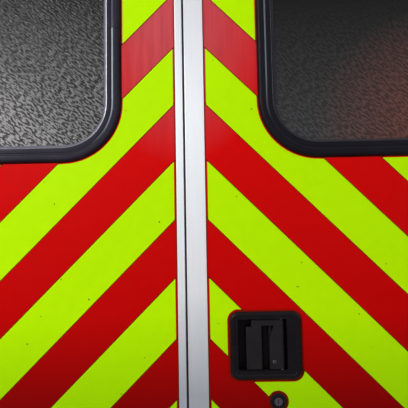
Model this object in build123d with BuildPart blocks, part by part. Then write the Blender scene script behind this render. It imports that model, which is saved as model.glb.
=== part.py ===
from build123d import *

import os

# Rear door set of a box-bodied ambulance: a mitred aluminium door frame with two side-hung leaves.
# X runs across the doorway (+X is the right leaf, seen from outside), +Y points into the vehicle, +Z up.
# The origin is on the sill's bottom face, at the middle of the doorway. All sizes are in millimetres.

# Doorway and leaves
LEAF_EDGE = 640.0  # centre line to a leaf's hinge edge
LEAF_HEIGHT = 1760.0
LEAF_THICKNESS = 38.0
SHUT_GAP = 6.0  # between leaf and frame, all round
SEAM_X = -11.0  # middle of the seam between the leaves
SEAM_GAP = 4.0

# Frame extrusion
FACE_Y = -4.0  # outer face of frame, stiles and rails
FRAME_BOX = 54.0  # width of the hollow member
FRAME_DEPTH = 74.0
FRAME_WALL = 3.0
STOP_LIP = 42.0  # how far the stop reaches behind the leaf
SEAL_SPACE = 12.0  # between leaf and stop
SEAL_WALL = 6.0  # stop wall that holds the seal's foot
FLANGE_WIDTH = 30.0
FLANGE_THICKNESS = 4.0
BOLT_HOLE_RADIUS = 3.25
POST_HOLE_HEIGHTS = (800.0, 300.0)  # above and below the pattern's centre
HEADER_HOLE_X = 330.0

# Leaf edge extrusions
PANEL_FACE_Y = -1.8
SKIN = 2.0  # outer skin of the panel
LIP_WIDTH = 26.0  # what shows of a rail
MEETING_LIP_EDGE = 26.1  # centre line to the film side of both meeting stiles
HINGE_LIP = 60.0  # what shows of a hinge stile
BOX_WIDTH = 44.0  # rails and hinge stile, below the skin
PANEL_NEAR = 44.0  # centre line to the panel's core
NOSE_REACH = 5.0  # front lip beyond the stile's web
NOSE_THICKNESS = 4.0
STILE_WALL = 2.4
LIP_ROUND = 1.0

# Reflective film
FILM = 0.3
FILM_MARGIN = 4.5  # red left showing round each yellow stripe
STRIPE_WIDTH = 75.0
CHEVRON_PEAK = 344.4  # where the first stripe's edges meet, above the window's lower edge

# Window: all round the rubber's outer edge
WINDOW_BOTTOM = 960.0  # above the leaf's lower edge
WINDOW_TOP = 150.0  # below the leaf's upper edge
WINDOW_NEAR = 128.0  # centre line to the rubber
WINDOW_FAR = 540.0
WINDOW_RADIUS = 107.0
PANEL_BITE = 11.5  # rubber lip over the panel
GLASS_BITE = 11.5  # rubber lip over the glass
RUBBER_WEB = 5.0
RUBBER_PROUD = 6.3
RUBBER_BACK = 4.3
RUBBER_BEVEL = 2.4
GLAZING_FLANGE = 8.0  # panel thickness that the rubber holds
GLASS_THICKNESS = 5.0
FILLER_WIDTH = 4.0
FILLER_DEPTH = 3.0
FILLER_PROUD = 0.4
RECESS_ROOM = 4.0  # inner cut beyond the rubber

# Seals
SEAL_FOOT = 8.0
SEAL_FOOT_DEPTH = 3.0
SEAL_WIDTH = 14.0
SEAL_CLEARANCE = 0.6
SEAL_BULB_WALL = 1.8
SEAL_ROUND = 4.5
EDGE_SEAL_GAP = 1.6  # between the two meeting seals' tips
EDGE_SEAL_STEP = 1.0  # behind the stile's lip
EDGE_SEAL_WIDTH = 11.0
EDGE_SEAL_ROUND = 3.5
EDGE_SEAL_END = 2.0  # short of the leaf's ends

# Inner side
LINER = 3.0
LINER_MARGIN = 50.0
LINER_MEETING = 30.0
TRIM_FLANGE = 14.0
TRIM_SHEET = 2.0
GRAB_NEAR = 190.0
GRAB_FAR = 500.0
GRAB_BELOW_WINDOW = 90.0
GRAB_STAND = 55.0
GRAB_RADIUS = 11.0
GRAB_END = 8.0  # bar beyond each bracket
GRAB_BRACKET = 20.0  # width of a bracket
GRAB_BRACKET_WALL = 4.0  # round the bar
GRAB_FOOT_WIDTH = 34.0
GRAB_FOOT_HEIGHT = 64.0
GRAB_FOOT = 5.0

# Hinges
AXIS_PROUD = 14.0  # pin axis in front of the leaf's face
BARREL_RADIUS = 8.0
PIN_RADIUS = 5.0
PIN_CLEARANCE = 0.05
PIN_PROUD = 2.5  # pin beyond the knuckles
HINGE_HEIGHT = 96.0
HINGE_END = 180.0  # from the leaf's ends to the outer hinges' middles
KNUCKLE_GAP = 1.0
HINGE_PLATE = 4.5
HINGE_PLATE_WIDTH = 48.0
HINGE_BEVEL = 8.0

# Handle and lock on the right leaf
HANDLE_X = 128.0
HANDLE_BELOW_WINDOW = 335.4
BEZEL_WIDTH = 125.3
BEZEL_HEIGHT = 117.6
BEZEL_RADIUS = 15.0
BEZEL_THICKNESS = 5.0
BEZEL_BEVEL = 2.5
RECESS_LEFT = -49.2
RECESS_RIGHT = 37.6
RECESS_TOP = 45.8
RECESS_BOTTOM = -42.9
RECESS_RADIUS = 3.0
RECESS_DEPTH = 31.0
DISH_WALL = 2.5
DISH_CLEARANCE = 0.5
LOCK_X = 147.4
LOCK_BELOW_WINDOW = 432.2
LOCK_RING_RADIUS = 14.0
LOCK_RING_PROUD = 4.0
LOCK_RING_BEVEL = 2.0
LOCK_BARREL_RADIUS = 7.2
LOCK_BARREL_PROUD = 3.2
LOCK_SLEEVE_RADIUS = 10.0
LOCK_LENGTH = 34.0
KEY_SLOT_WIDTH = 1.6
KEY_SLOT_HEIGHT = 8.0
KEY_SLOT_DEPTH = 4.0

# Pull paddle, from the handle's centre
PADDLE_CLEARANCE = 1.2  # to the dish, above and below
PADDLE_SET_BACK = 4.0  # paddle face behind the bezel's face
PADDLE_SHEET = 3.5
PADDLE_ROUND = 1.5
PADDLE_LEFT = -33.8
PADDLE_STEP = 8.9  # the grip starts this far in at its top
PADDLE_STEP_HEIGHT = 12.5
PADDLE_BAR = 10.5  # height of the bar across the top
PADDLE_TROUGH_LEFT = -7.2
PADDLE_TROUGH_RIGHT = 7.6
PADDLE_TROUGH_DEPTH = 12.0
PADDLE_FUNNEL = 7.1  # the trough widens by this at its top
PADDLE_FUNNEL_HEIGHT = 19.0
PADDLE_PIN_X = 28.4
PADDLE_PIN_RADIUS = 2.5
PADDLE_EYE_RADIUS = 5.0

# Bolts and their keeps
BOLT_X = 66.0
BOLT_STAND = 15.0  # bolt axis behind the liner
BOLT_RADIUS = 6.0
BOLT_WITHDRAWN = 5.0  # tip to keep, as drawn
GUIDE_WIDTH = 30.0
GUIDE_HEIGHT = 36.0
GUIDE_DEPTH = 25.0
GUIDE_BEVEL = 6.0
GUIDE_INSET = 6.0  # from the liner's end
GUIDE_CLEARANCE = 0.2
CASE_WIDTH = 52.0
CASE_HEIGHT = 110.0
CASE_DEPTH = 28.0
CASE_BEVEL = 6.0
CASE_SOCKET = 18.0
LEVER_BOSS_RADIUS = 15.0
LEVER_BOSS = 5.0
LEVER_LENGTH = 115.0
LEVER_WIDTH = 24.0
LEVER_THICKNESS = 9.0
LEVER_ROUND = 11.0
KEEP_LENGTH = 40.0
KEEP_THICKNESS = 3.0
KEEP_HOLE_CLEARANCE = 1.5
KEEP_HOLE_DEPTH = 10.0
KEEP_EDGE = 1.0

# Fittings on the frame
TREAD = 2.5
TREAD_NOSE = 12.0
TREAD_INSET = 14.0
GUTTER_UP = 16.0  # above the header's lower edge
GUTTER_REACH = 14.0
GUTTER_HEIGHT = 22.0
GUTTER_LIP = 10.0
GUTTER_SHEET = 2.0
GUTTER_SHORT = 30.0  # stops this far inside the frame's side
EPS = 1e-6

OPENING_X = LEAF_EDGE + SHUT_GAP
LEAF_BOTTOM = FRAME_BOX + SHUT_GAP
LEAF_TOP = LEAF_BOTTOM + LEAF_HEIGHT
HEADER_Z = LEAF_TOP + SHUT_GAP
LEAF_BACK = FACE_Y + LEAF_THICKNESS
STOP_Y = LEAF_BACK + SEAL_SPACE
FRAME_BACK = FACE_Y + FRAME_DEPTH
FRAME_SIDE = OPENING_X + FRAME_BOX
FLANGE_SIDE = FRAME_SIDE + FLANGE_WIDTH
FRAME_TOP = HEADER_Z + FRAME_BOX
FLANGE_TOP = FRAME_TOP + FLANGE_WIDTH
AXIS_X = LEAF_EDGE + SHUT_GAP / 2
AXIS_Y = FACE_Y - AXIS_PROUD
RED_Y = PANEL_FACE_Y - FILM
YELLOW_Y = RED_Y - FILM
BOX_FACE_Y = PANEL_FACE_Y + SKIN
STRIPE_RISE = STRIPE_WIDTH * 2**0.5  # height of a stripe laid at 45 degrees
WINDOW_Z = LEAF_BOTTOM + WINDOW_BOTTOM
WINDOW_HEIGHT = LEAF_HEIGHT - WINDOW_BOTTOM - WINDOW_TOP
WINDOW_MID_X = (WINDOW_NEAR + WINDOW_FAR) / 2
WINDOW_MID_Z = WINDOW_Z + WINDOW_HEIGHT / 2
HANDLE_Z = WINDOW_Z - HANDLE_BELOW_WINDOW
LOCK_Z = WINDOW_Z - LOCK_BELOW_WINDOW
LINER_BACK = LEAF_BACK + LINER
PATTERN_Z = FRAME_TOP / 2
SKIN_NEAR = MEETING_LIP_EDGE
SKIN_FAR = LEAF_EDGE - HINGE_LIP
SKIN_LOW = LEAF_BOTTOM + LIP_WIDTH
SKIN_HIGH = LEAF_TOP - LIP_WIDTH
PANEL_FAR = LEAF_EDGE - BOX_WIDTH
STILE_CHAMBER_Y = (BOX_FACE_Y + STILE_WALL, LEAF_BACK - STILE_WALL)
REBATE_Y = PANEL_FACE_Y + GLAZING_FLANGE
RUBBER_FACE_Y = RED_Y - RUBBER_PROUD
GLASS_Y = (PANEL_FACE_Y + REBATE_Y - GLASS_THICKNESS) / 2
RUBBER_WIDTH = PANEL_BITE + RUBBER_WEB + GLASS_BITE
BEZEL_FACE_Y = RED_Y - BEZEL_THICKNESS
BOLT_Y = LINER_BACK + BOLT_STAND
HEADER_STOP_Z = HEADER_Z - STOP_LIP
SILL_STOP_Z = FRAME_BOX + STOP_LIP
TREAD_TOP = SILL_STOP_Z + TREAD
KEEP_LOW_TOP = TREAD_TOP + KEEP_THICKNESS
KEEP_HIGH_BOTTOM = HEADER_STOP_Z - KEEP_THICKNESS
KEEP_Y0 = STOP_Y + KEEP_EDGE
KEEP_Y1 = FRAME_BACK - KEEP_EDGE
HINGE_MIDDLES = (LEAF_BOTTOM + HINGE_END, LEAF_BOTTOM + LEAF_HEIGHT / 2, LEAF_TOP - HINGE_END)
KNUCKLE_HEIGHT = (HINGE_HEIGHT - 2 * KNUCKLE_GAP) / 3
PADDLE_FACE_Y = BEZEL_FACE_Y + PADDLE_SET_BACK
PADDLE_LOW = HANDLE_Z + RECESS_BOTTOM + PADDLE_CLEARANCE
PADDLE_HIGH = HANDLE_Z + RECESS_TOP - PADDLE_CLEARANCE
EYE_X = HANDLE_X + PADDLE_PIN_X
EYE_Y = PADDLE_FACE_Y + PADDLE_EYE_RADIUS

SIDES = {"left": -1, "right": 1}


def facing(y):
    """A sketch plane across the doorway at depth y: X to the right, Z up, and -Y towards the viewer."""
    return Plane.XZ.offset(-y)


def handed(part, side):
    """Leaves are drawn as the right-hand one, and the left one is its mirror image."""
    return part if side == "right" else mirror(part, about=Plane.YZ)


def write(part, label):
    """Names a finished piece and writes it."""
    part.label = label
    export_step(part, f"parts/{label}.step")


def nose_edge(side):
    """Distance from the centre line to a leaf's meeting edge; the right leaf reaches across it."""
    return SIDES[side] * SEAM_X + SEAM_GAP / 2


def slab(x0, x1, z0, z1, y0, y1, radius=0.0, mode=Mode.ADD):
    """Adds or cuts a plate between two depths, with round corners where a radius is given."""
    with BuildSketch(facing(y0)) as outline:
        with Locations(((x0 + x1) / 2, (z0 + z1) / 2)):
            if radius:
                RectangleRounded(x1 - x0, z1 - z0, radius)
            else:
                Rectangle(x1 - x0, z1 - z0)
    extrude(outline.sketch, amount=y0 - y1, mode=mode)


def block(x, z, width, height, y0, y1, radius=0.0):
    """Adds a plate that is centred on a point of the door."""
    slab(x - width / 2, x + width / 2, z - height / 2, z + height / 2, y0, y1, radius)


def window_cut(inset, y0, y1):
    """Cuts the window's outline, moved in by inset from the rubber's outer edge."""
    with BuildSketch(facing(y0)) as outline:
        window_outline(inset)
    extrude(outline.sketch, amount=y0 - y1, mode=Mode.SUBTRACT)


def window_outline(inset, mode=Mode.ADD):
    """The window's rounded outline, moved in by inset from the rubber's outer edge."""
    width = WINDOW_FAR - WINDOW_NEAR - 2 * inset
    with Locations((WINDOW_MID_X, WINDOW_MID_Z)):
        RectangleRounded(width, WINDOW_HEIGHT - 2 * inset, WINDOW_RADIUS - inset, mode=mode)


def chamber(x0, x1, y0, y1, mode=Mode.SUBTRACT):
    """A rectangle between two pairs of limits, by default a chamber taken out of an extrusion's section."""
    with Locations(((x0 + x1) / 2, (y0 + y1) / 2)):
        Rectangle(x1 - x0, y1 - y0, mode=mode)


# Door frame: one hollow section, mitred at the corners
def frame_section(flange):
    """The frame's section, from the doorway side outwards: stop lip, two chambers and seal groove."""
    lip_edge = -STOP_LIP
    outline = [
        (0, FACE_Y),
        (FRAME_BOX + flange, FACE_Y),
        (FRAME_BOX + flange, FACE_Y + FLANGE_THICKNESS),
        (FRAME_BOX, FACE_Y + FLANGE_THICKNESS),
        (FRAME_BOX, FRAME_BACK),
        (lip_edge, FRAME_BACK),
        (lip_edge, STOP_Y),
        (0, STOP_Y),
    ]
    if not flange:
        outline = [p for p in outline if p[1] != FACE_Y + FLANGE_THICKNESS]
    with BuildSketch() as section:
        with BuildLine():
            Polyline(*outline, close=True)
        make_face()
        chambers = (
            (FRAME_WALL, FRAME_BOX - FRAME_WALL, FACE_Y + FRAME_WALL, FRAME_BACK - FRAME_WALL),
            (lip_edge + FRAME_WALL, 0, STOP_Y + SEAL_WALL, FRAME_BACK - FRAME_WALL),
        )
        for x0, x1, y0, y1 in chambers:
            chamber(x0, x1, y0, y1)
        with Locations((-STOP_LIP / 2, STOP_Y + SEAL_FOOT_DEPTH / 2)):
            Rectangle(SEAL_FOOT, SEAL_FOOT_DEPTH, mode=Mode.SUBTRACT)
    return section.sketch


TOP_MITRE = Plane(origin=(OPENING_X, 0, HEADER_Z), z_dir=(1, 0, -1))
BOTTOM_MITRE = Plane(origin=(OPENING_X, 0, FRAME_BOX), z_dir=(1, 0, 1))


def posts():
    """Both posts, cut at their mitres and drilled through the flange."""
    with BuildPart() as posts:
        with BuildSketch():
            with Locations((OPENING_X, 0)):
                add(frame_section(FLANGE_WIDTH))
        extrude(amount=FLANGE_TOP)
        split(bisect_by=TOP_MITRE)
        split(bisect_by=BOTTOM_MITRE)
        rows = [PATTERN_Z + up * h for h in POST_HOLE_HEIGHTS for up in (-1, 1)]
        with BuildSketch(facing(FACE_Y)):
            with Locations(*[(FRAME_SIDE + FLANGE_WIDTH / 2, z) for z in rows]):
                Circle(BOLT_HOLE_RADIUS)
        extrude(amount=-FLANGE_THICKNESS, mode=Mode.SUBTRACT)
        mirror(about=Plane.YZ)
    return posts.part


def cross_member(height, up, flange):
    """Header or sill: the section laid along X, its stop towards the doorway, mitred at both ends."""
    ends = Plane(origin=(-FLANGE_SIDE, 0, height), x_dir=(0, 0, up), z_dir=(1, 0, 0))
    mitre = TOP_MITRE if up > 0 else BOTTOM_MITRE
    with BuildPart() as member:
        with BuildSketch(ends):
            add(mirror(frame_section(flange), about=Plane.XZ) if up > 0 else frame_section(flange))
        extrude(amount=2 * FLANGE_SIDE)
        split(bisect_by=mitre, keep=Keep.BOTTOM)
        split(bisect_by=mirror_plane(mitre), keep=Keep.BOTTOM)
        if flange:
            with BuildSketch(facing(FACE_Y)):
                with Locations(*[(x, FRAME_TOP + flange / 2) for x in (-HEADER_HOLE_X, HEADER_HOLE_X)]):
                    Circle(BOLT_HOLE_RADIUS)
            extrude(amount=-FLANGE_THICKNESS, mode=Mode.SUBTRACT)
        stop_edge = height - up * STOP_LIP
        with BuildSketch(Plane.XY.offset(stop_edge)):
            with Locations((-BOLT_X, BOLT_Y), (BOLT_X, BOLT_Y)):
                Circle(BOLT_RADIUS + KEEP_HOLE_CLEARANCE)
        extrude(amount=up * KEEP_HOLE_DEPTH, mode=Mode.SUBTRACT)
    return member.part


def mirror_plane(plane):
    """The same mitre at the left-hand corner."""
    return Plane(
        origin=(-plane.origin.X, plane.origin.Y, plane.origin.Z),
        z_dir=(-plane.z_dir.X, plane.z_dir.Y, plane.z_dir.Z),
    )



# Door leaves, drawn right-handed
def panel(side):
    """Bonded sandwich panel with its rebated window opening and, on the right, the handle and lock cuts."""
    with BuildPart() as panel:
        slab(PANEL_NEAR, PANEL_FAR, LEAF_BOTTOM + BOX_WIDTH, LEAF_TOP - BOX_WIDTH, BOX_FACE_Y, LEAF_BACK)
        slab(SKIN_NEAR, SKIN_FAR, SKIN_LOW, SKIN_HIGH, PANEL_FACE_Y, BOX_FACE_Y)
        window_cut(PANEL_BITE, PANEL_FACE_Y, REBATE_Y)
        window_cut(-RECESS_ROOM, REBATE_Y, LEAF_BACK)
        if side == "right":
            fitting_cuts(PANEL_FACE_Y, LEAF_BACK, DISH_CLEARANCE)
    return panel.part


def fitting_cuts(y0, y1, clearance):
    """Cuts the right leaf for the handle's dish and the lock's sleeve."""
    with BuildSketch(facing(y0)) as outline:
        dish_outline(DISH_WALL + clearance)
        with Locations((LOCK_X, LOCK_Z)):
            Circle(LOCK_SLEEVE_RADIUS + clearance)
    extrude(outline.sketch, amount=y0 - y1, mode=Mode.SUBTRACT)


def dish_outline(grow):
    """The recess behind the handle, grown on every side."""
    across = (RECESS_LEFT + RECESS_RIGHT) / 2
    up = (RECESS_TOP + RECESS_BOTTOM) / 2
    with Locations((HANDLE_X + across, HANDLE_Z + up)):
        RectangleRounded(
            RECESS_RIGHT - RECESS_LEFT + 2 * grow,
            RECESS_TOP - RECESS_BOTTOM + 2 * grow,
            RECESS_RADIUS + grow,
        )


def red_film(side):
    """The red base film over the whole panel, tucked under the window rubber."""
    with BuildPart() as film:
        slab(SKIN_NEAR, SKIN_FAR, SKIN_LOW, SKIN_HIGH, RED_Y, PANEL_FACE_Y)
        window_cut(PANEL_BITE, RED_Y, PANEL_FACE_Y)
        if side == "right":
            fitting_cuts(RED_Y, PANEL_FACE_Y, DISH_CLEARANCE)
    return film.part


def yellow_film(side):
    """Yellow stripes laid over the red at 45 degrees, falling from the meeting edge to the hinges."""
    near = SKIN_NEAR + FILM_MARGIN
    far = SKIN_FAR - FILM_MARGIN
    low = SKIN_LOW + FILM_MARGIN
    high = SKIN_HIGH - FILM_MARGIN
    peak = WINDOW_Z + CHEVRON_PEAK
    above = (high - peak + far) // (2 * STRIPE_RISE) + 1
    top = peak + (2 * above - 1) * STRIPE_RISE
    with BuildPart() as film:
        with BuildSketch(facing(YELLOW_Y)):
            while top - near > low:
                bottom = top - STRIPE_RISE
                with BuildLine():
                    Polyline(
                        (near, top - near),
                        (far, top - far),
                        (far, bottom - far),
                        (near, bottom - near),
                        close=True,
                    )
                make_face()
                top = bottom - STRIPE_RISE
            with Locations(((near + far) / 2, (low + high) / 2)):
                Rectangle(far - near, high - low, mode=Mode.INTERSECT)
            window_outline(-FILM_MARGIN, Mode.SUBTRACT)
            if side == "right":
                with Locations((HANDLE_X, HANDLE_Z)):
                    RectangleRounded(
                        BEZEL_WIDTH + 2 * FILM_MARGIN,
                        BEZEL_HEIGHT + 2 * FILM_MARGIN,
                        BEZEL_RADIUS + FILM_MARGIN,
                        mode=Mode.SUBTRACT,
                    )
                with Locations((LOCK_X, LOCK_Z)):
                    Circle(LOCK_RING_RADIUS + FILM_MARGIN, mode=Mode.SUBTRACT)
        extrude(amount=-FILM)
    return film.part


def meeting_stile(side):
    """Hollow edge extrusion whose silver lip covers the panel on one side and the seal on the other."""
    nose = nose_edge(side)
    web = nose + NOSE_REACH
    lip_back = FACE_Y + NOSE_THICKNESS
    with BuildPart() as stile:
        with BuildSketch(Plane.XY.offset(LEAF_BOTTOM)):
            with BuildLine():
                Polyline(
                    (nose, FACE_Y),
                    (SKIN_NEAR, FACE_Y),
                    (SKIN_NEAR, BOX_FACE_Y),
                    (PANEL_NEAR, BOX_FACE_Y),
                    (PANEL_NEAR, LEAF_BACK),
                    (web, LEAF_BACK),
                    (web, lip_back),
                    (nose, lip_back),
                    close=True,
                )
            make_face()
            front = [v for v in vertices() if abs(v.Y - FACE_Y) < EPS]
            fillet(front, LIP_ROUND)
            chamber(web + STILE_WALL, PANEL_NEAR - STILE_WALL, *STILE_CHAMBER_Y)
        extrude(amount=LEAF_HEIGHT)
    return stile.part


def hinge_stile(side):
    """Hollow edge extrusion at the hinges, with a wide flat lip that the hinge plates sit on."""
    with BuildPart() as stile:
        with BuildSketch(Plane.XY.offset(LEAF_BOTTOM)):
            with BuildLine():
                Polyline(
                    (SKIN_FAR, FACE_Y),
                    (LEAF_EDGE, FACE_Y),
                    (LEAF_EDGE, LEAF_BACK),
                    (PANEL_FAR, LEAF_BACK),
                    (PANEL_FAR, BOX_FACE_Y),
                    (SKIN_FAR, BOX_FACE_Y),
                    close=True,
                )
            make_face()
            front = [v for v in vertices() if abs(v.Y - FACE_Y) < EPS]
            fillet(front, LIP_ROUND)
            chamber(PANEL_FAR + STILE_WALL, LEAF_EDGE - STILE_WALL, *STILE_CHAMBER_Y)
        extrude(amount=LEAF_HEIGHT)
    return stile.part


def rails(side):
    """Top and bottom edge extrusions between the two stiles."""
    with BuildPart() as rails:
        for edge, up in ((LEAF_BOTTOM, 1), (LEAF_TOP, -1)):
            lip = sorted((edge, edge + up * LIP_WIDTH))
            box = sorted((edge, edge + up * BOX_WIDTH))
            slab(SKIN_NEAR, SKIN_FAR, *lip, FACE_Y, BOX_FACE_Y)
            slab(PANEL_NEAR, PANEL_FAR, *box, BOX_FACE_Y, LEAF_BACK)
            with BuildSketch(Plane.YZ.offset(PANEL_NEAR)):
                chamber(*STILE_CHAMBER_Y, box[0] + STILE_WALL, box[1] - STILE_WALL, Mode.ADD)
            extrude(amount=PANEL_FAR - PANEL_NEAR, mode=Mode.SUBTRACT)
    return rails.part


def glass(side):
    """The fixed pane, held by the rubber all round."""
    with BuildPart() as glass:
        with BuildSketch(facing(GLASS_Y)):
            window_outline(PANEL_BITE + RUBBER_WEB)
        extrude(amount=-GLASS_THICKNESS)
    return glass.part


def rubber_ring(outer, inner, y0, y1, mode=Mode.ADD):
    """Adds or cuts a ring that follows the window, between two insets from the rubber's edge."""
    with BuildSketch(facing(y0)) as ring:
        window_outline(outer)
        window_outline(inner, Mode.SUBTRACT)
    extrude(ring.sketch, amount=y0 - y1, mode=mode)


def rubber(side):
    """H-section glazing rubber: one slot grips the panel, the other the glass; a groove takes the filler."""
    glass_back = GLASS_Y + GLASS_THICKNESS
    groove = groove_inset()
    with BuildPart() as rubber:
        rubber_ring(0, RUBBER_WIDTH, RUBBER_FACE_Y, RED_Y)
        front = rubber.faces().sort_by(Axis.Y)[0]
        chamfer(front.edges(), RUBBER_BEVEL)
        rubber_ring(PANEL_BITE, RUBBER_WIDTH, RED_Y, GLASS_Y)
        rubber_ring(PANEL_BITE, PANEL_BITE + RUBBER_WEB, GLASS_Y, glass_back)
        rubber_ring(PANEL_BITE, RUBBER_WIDTH, glass_back, REBATE_Y)
        rubber_ring(0, RUBBER_WIDTH, REBATE_Y, REBATE_Y + RUBBER_BACK)
        rubber_ring(groove, groove + FILLER_WIDTH, RUBBER_FACE_Y, RUBBER_FACE_Y + FILLER_DEPTH, Mode.SUBTRACT)
    return rubber.part


def groove_inset():
    """Where the filler's groove starts, over the rubber's web."""
    return PANEL_BITE + (RUBBER_WEB - FILLER_WIDTH) / 2


def filler(side):
    """The filler strip that locks the rubber, standing slightly proud of it."""
    groove = groove_inset()
    with BuildPart() as filler:
        rubber_ring(groove, groove + FILLER_WIDTH, RUBBER_FACE_Y - FILLER_PROUD, RUBBER_FACE_Y + FILLER_DEPTH)
    return filler.part


def edge_seal(side):
    """The bulb along the meeting edge, behind the stile's lip; it stops just short of the other leaf's."""
    nose = nose_edge(side)
    tip = nose - (SEAM_GAP - EDGE_SEAL_GAP) / 2
    y0 = FACE_Y + NOSE_THICKNESS + EDGE_SEAL_STEP
    with BuildPart() as seal:
        with BuildSketch(Plane.XY.offset(LEAF_BOTTOM + EDGE_SEAL_END)):
            chamber(tip, nose + NOSE_REACH, y0, y0 + EDGE_SEAL_WIDTH, Mode.ADD)
            fillet(vertices().group_by(Axis.X)[0], EDGE_SEAL_ROUND)
        extrude(amount=LEAF_HEIGHT - 2 * EDGE_SEAL_END)
    return seal.part


def liner(side):
    """Inner sheet of the leaf, cut round the window."""
    with BuildPart() as liner:
        slab(
            LINER_MEETING, LEAF_EDGE - LINER_MARGIN, LEAF_BOTTOM + LINER_MARGIN, LEAF_TOP - LINER_MARGIN,
            LEAF_BACK, LINER_BACK,
        )
        window_cut(-RECESS_ROOM, LEAF_BACK, LINER_BACK)
    return liner.part


def window_trim(side):
    """Sheet trim that lines the window's reveal and covers the liner's edge."""
    edge = -RECESS_ROOM
    with BuildPart() as trim:
        rubber_ring(edge, edge + TRIM_SHEET, REBATE_Y, LINER_BACK)
        rubber_ring(edge - TRIM_FLANGE, edge + TRIM_SHEET, LINER_BACK, LINER_BACK + TRIM_SHEET)
    return trim.part


def grab_handle(side):
    """Grab rail across the inside of the leaf: a round bar in two cast brackets with tapered necks."""
    z = WINDOW_Z - GRAB_BELOW_WINDOW
    y = LINER_BACK + GRAB_STAND
    foot_y = LINER_BACK + GRAB_FOOT
    eye = GRAB_RADIUS + GRAB_BRACKET_WALL
    with BuildPart() as grab:
        with BuildSketch(Plane.YZ.offset(GRAB_NEAR - GRAB_BRACKET / 2 - GRAB_END)):
            with Locations((y, z)):
                Circle(GRAB_RADIUS)
        extrude(amount=GRAB_FAR - GRAB_NEAR + GRAB_BRACKET + 2 * GRAB_END)
        for x in (GRAB_NEAR, GRAB_FAR):
            with BuildSketch(Plane.YZ.offset(x - GRAB_BRACKET / 2)):
                with Locations((y, z)):
                    Circle(eye)
                with BuildLine():
                    Polyline(
                        (y, z - eye), (foot_y, z - GRAB_FOOT_HEIGHT / 2), (foot_y, z + GRAB_FOOT_HEIGHT / 2),
                        (y, z + eye), close=True,
                    )
                make_face()
            extrude(amount=GRAB_BRACKET)
            block(x, z, GRAB_FOOT_WIDTH, GRAB_FOOT_HEIGHT, LINER_BACK, foot_y)
    return grab.part


def guide_centres():
    """Heights of a bolt's two guides."""
    reach = LINER_MARGIN + GUIDE_INSET + GUIDE_HEIGHT / 2
    return LEAF_BOTTOM + reach, LEAF_TOP - reach


def bolt_guides(side):
    """Upper and lower guide blocks and the case that the bolts are worked from."""
    with BuildPart() as guides:
        for z in guide_centres():
            block(BOLT_X, z, GUIDE_WIDTH, GUIDE_HEIGHT, LINER_BACK, LINER_BACK + GUIDE_DEPTH)
        chamfer(guides.edges().filter_by(Axis.Z).group_by(Axis.Y)[-1], GUIDE_BEVEL)
        block(BOLT_X, HANDLE_Z, CASE_WIDTH, CASE_HEIGHT, LINER_BACK, LINER_BACK + CASE_DEPTH)
        chamfer(guides.edges().filter_by(Axis.Z).group_by(Axis.Y)[-1], CASE_BEVEL)
        low, high = guide_centres()
        for z0, z1 in (
            (low - GUIDE_HEIGHT, HANDLE_Z - CASE_HEIGHT / 2 + CASE_SOCKET),
            (HANDLE_Z + CASE_HEIGHT / 2 - CASE_SOCKET, high + GUIDE_HEIGHT),
        ):
            with BuildSketch(Plane.XY.offset(z0)):
                with Locations((BOLT_X, BOLT_Y)):
                    Circle(BOLT_RADIUS + GUIDE_CLEARANCE)
            extrude(amount=z1 - z0, mode=Mode.SUBTRACT)
    return guides.part


def bolts(side):
    """Upper and lower bolts, drawn back clear of their keeps so that the leaf can swing."""
    socket = CASE_HEIGHT / 2 - CASE_SOCKET
    spans = (
        (KEEP_LOW_TOP + BOLT_WITHDRAWN, HANDLE_Z - socket),
        (HANDLE_Z + socket, KEEP_HIGH_BOTTOM - BOLT_WITHDRAWN),
    )
    with BuildPart() as bolts:
        for z0, z1 in spans:
            with BuildSketch(Plane.XY.offset(z0)):
                with Locations((BOLT_X, BOLT_Y)):
                    Circle(BOLT_RADIUS)
            extrude(amount=z1 - z0)
    return bolts.part


def bolt_lever(side):
    """The lever on the case, pointing away from the meeting edge."""
    y0 = LINER_BACK + CASE_DEPTH
    half = LEVER_WIDTH / 2
    with BuildPart() as lever:
        with BuildSketch(facing(y0)):
            with Locations((BOLT_X, HANDLE_Z)):
                Circle(LEVER_BOSS_RADIUS)
        extrude(amount=-LEVER_BOSS - LEVER_THICKNESS)
        slab(
            BOLT_X - half, BOLT_X + LEVER_LENGTH, HANDLE_Z - half, HANDLE_Z + half,
            y0 + LEVER_BOSS, y0 + LEVER_BOSS + LEVER_THICKNESS, LEVER_ROUND,
        )
    return lever.part


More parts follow.
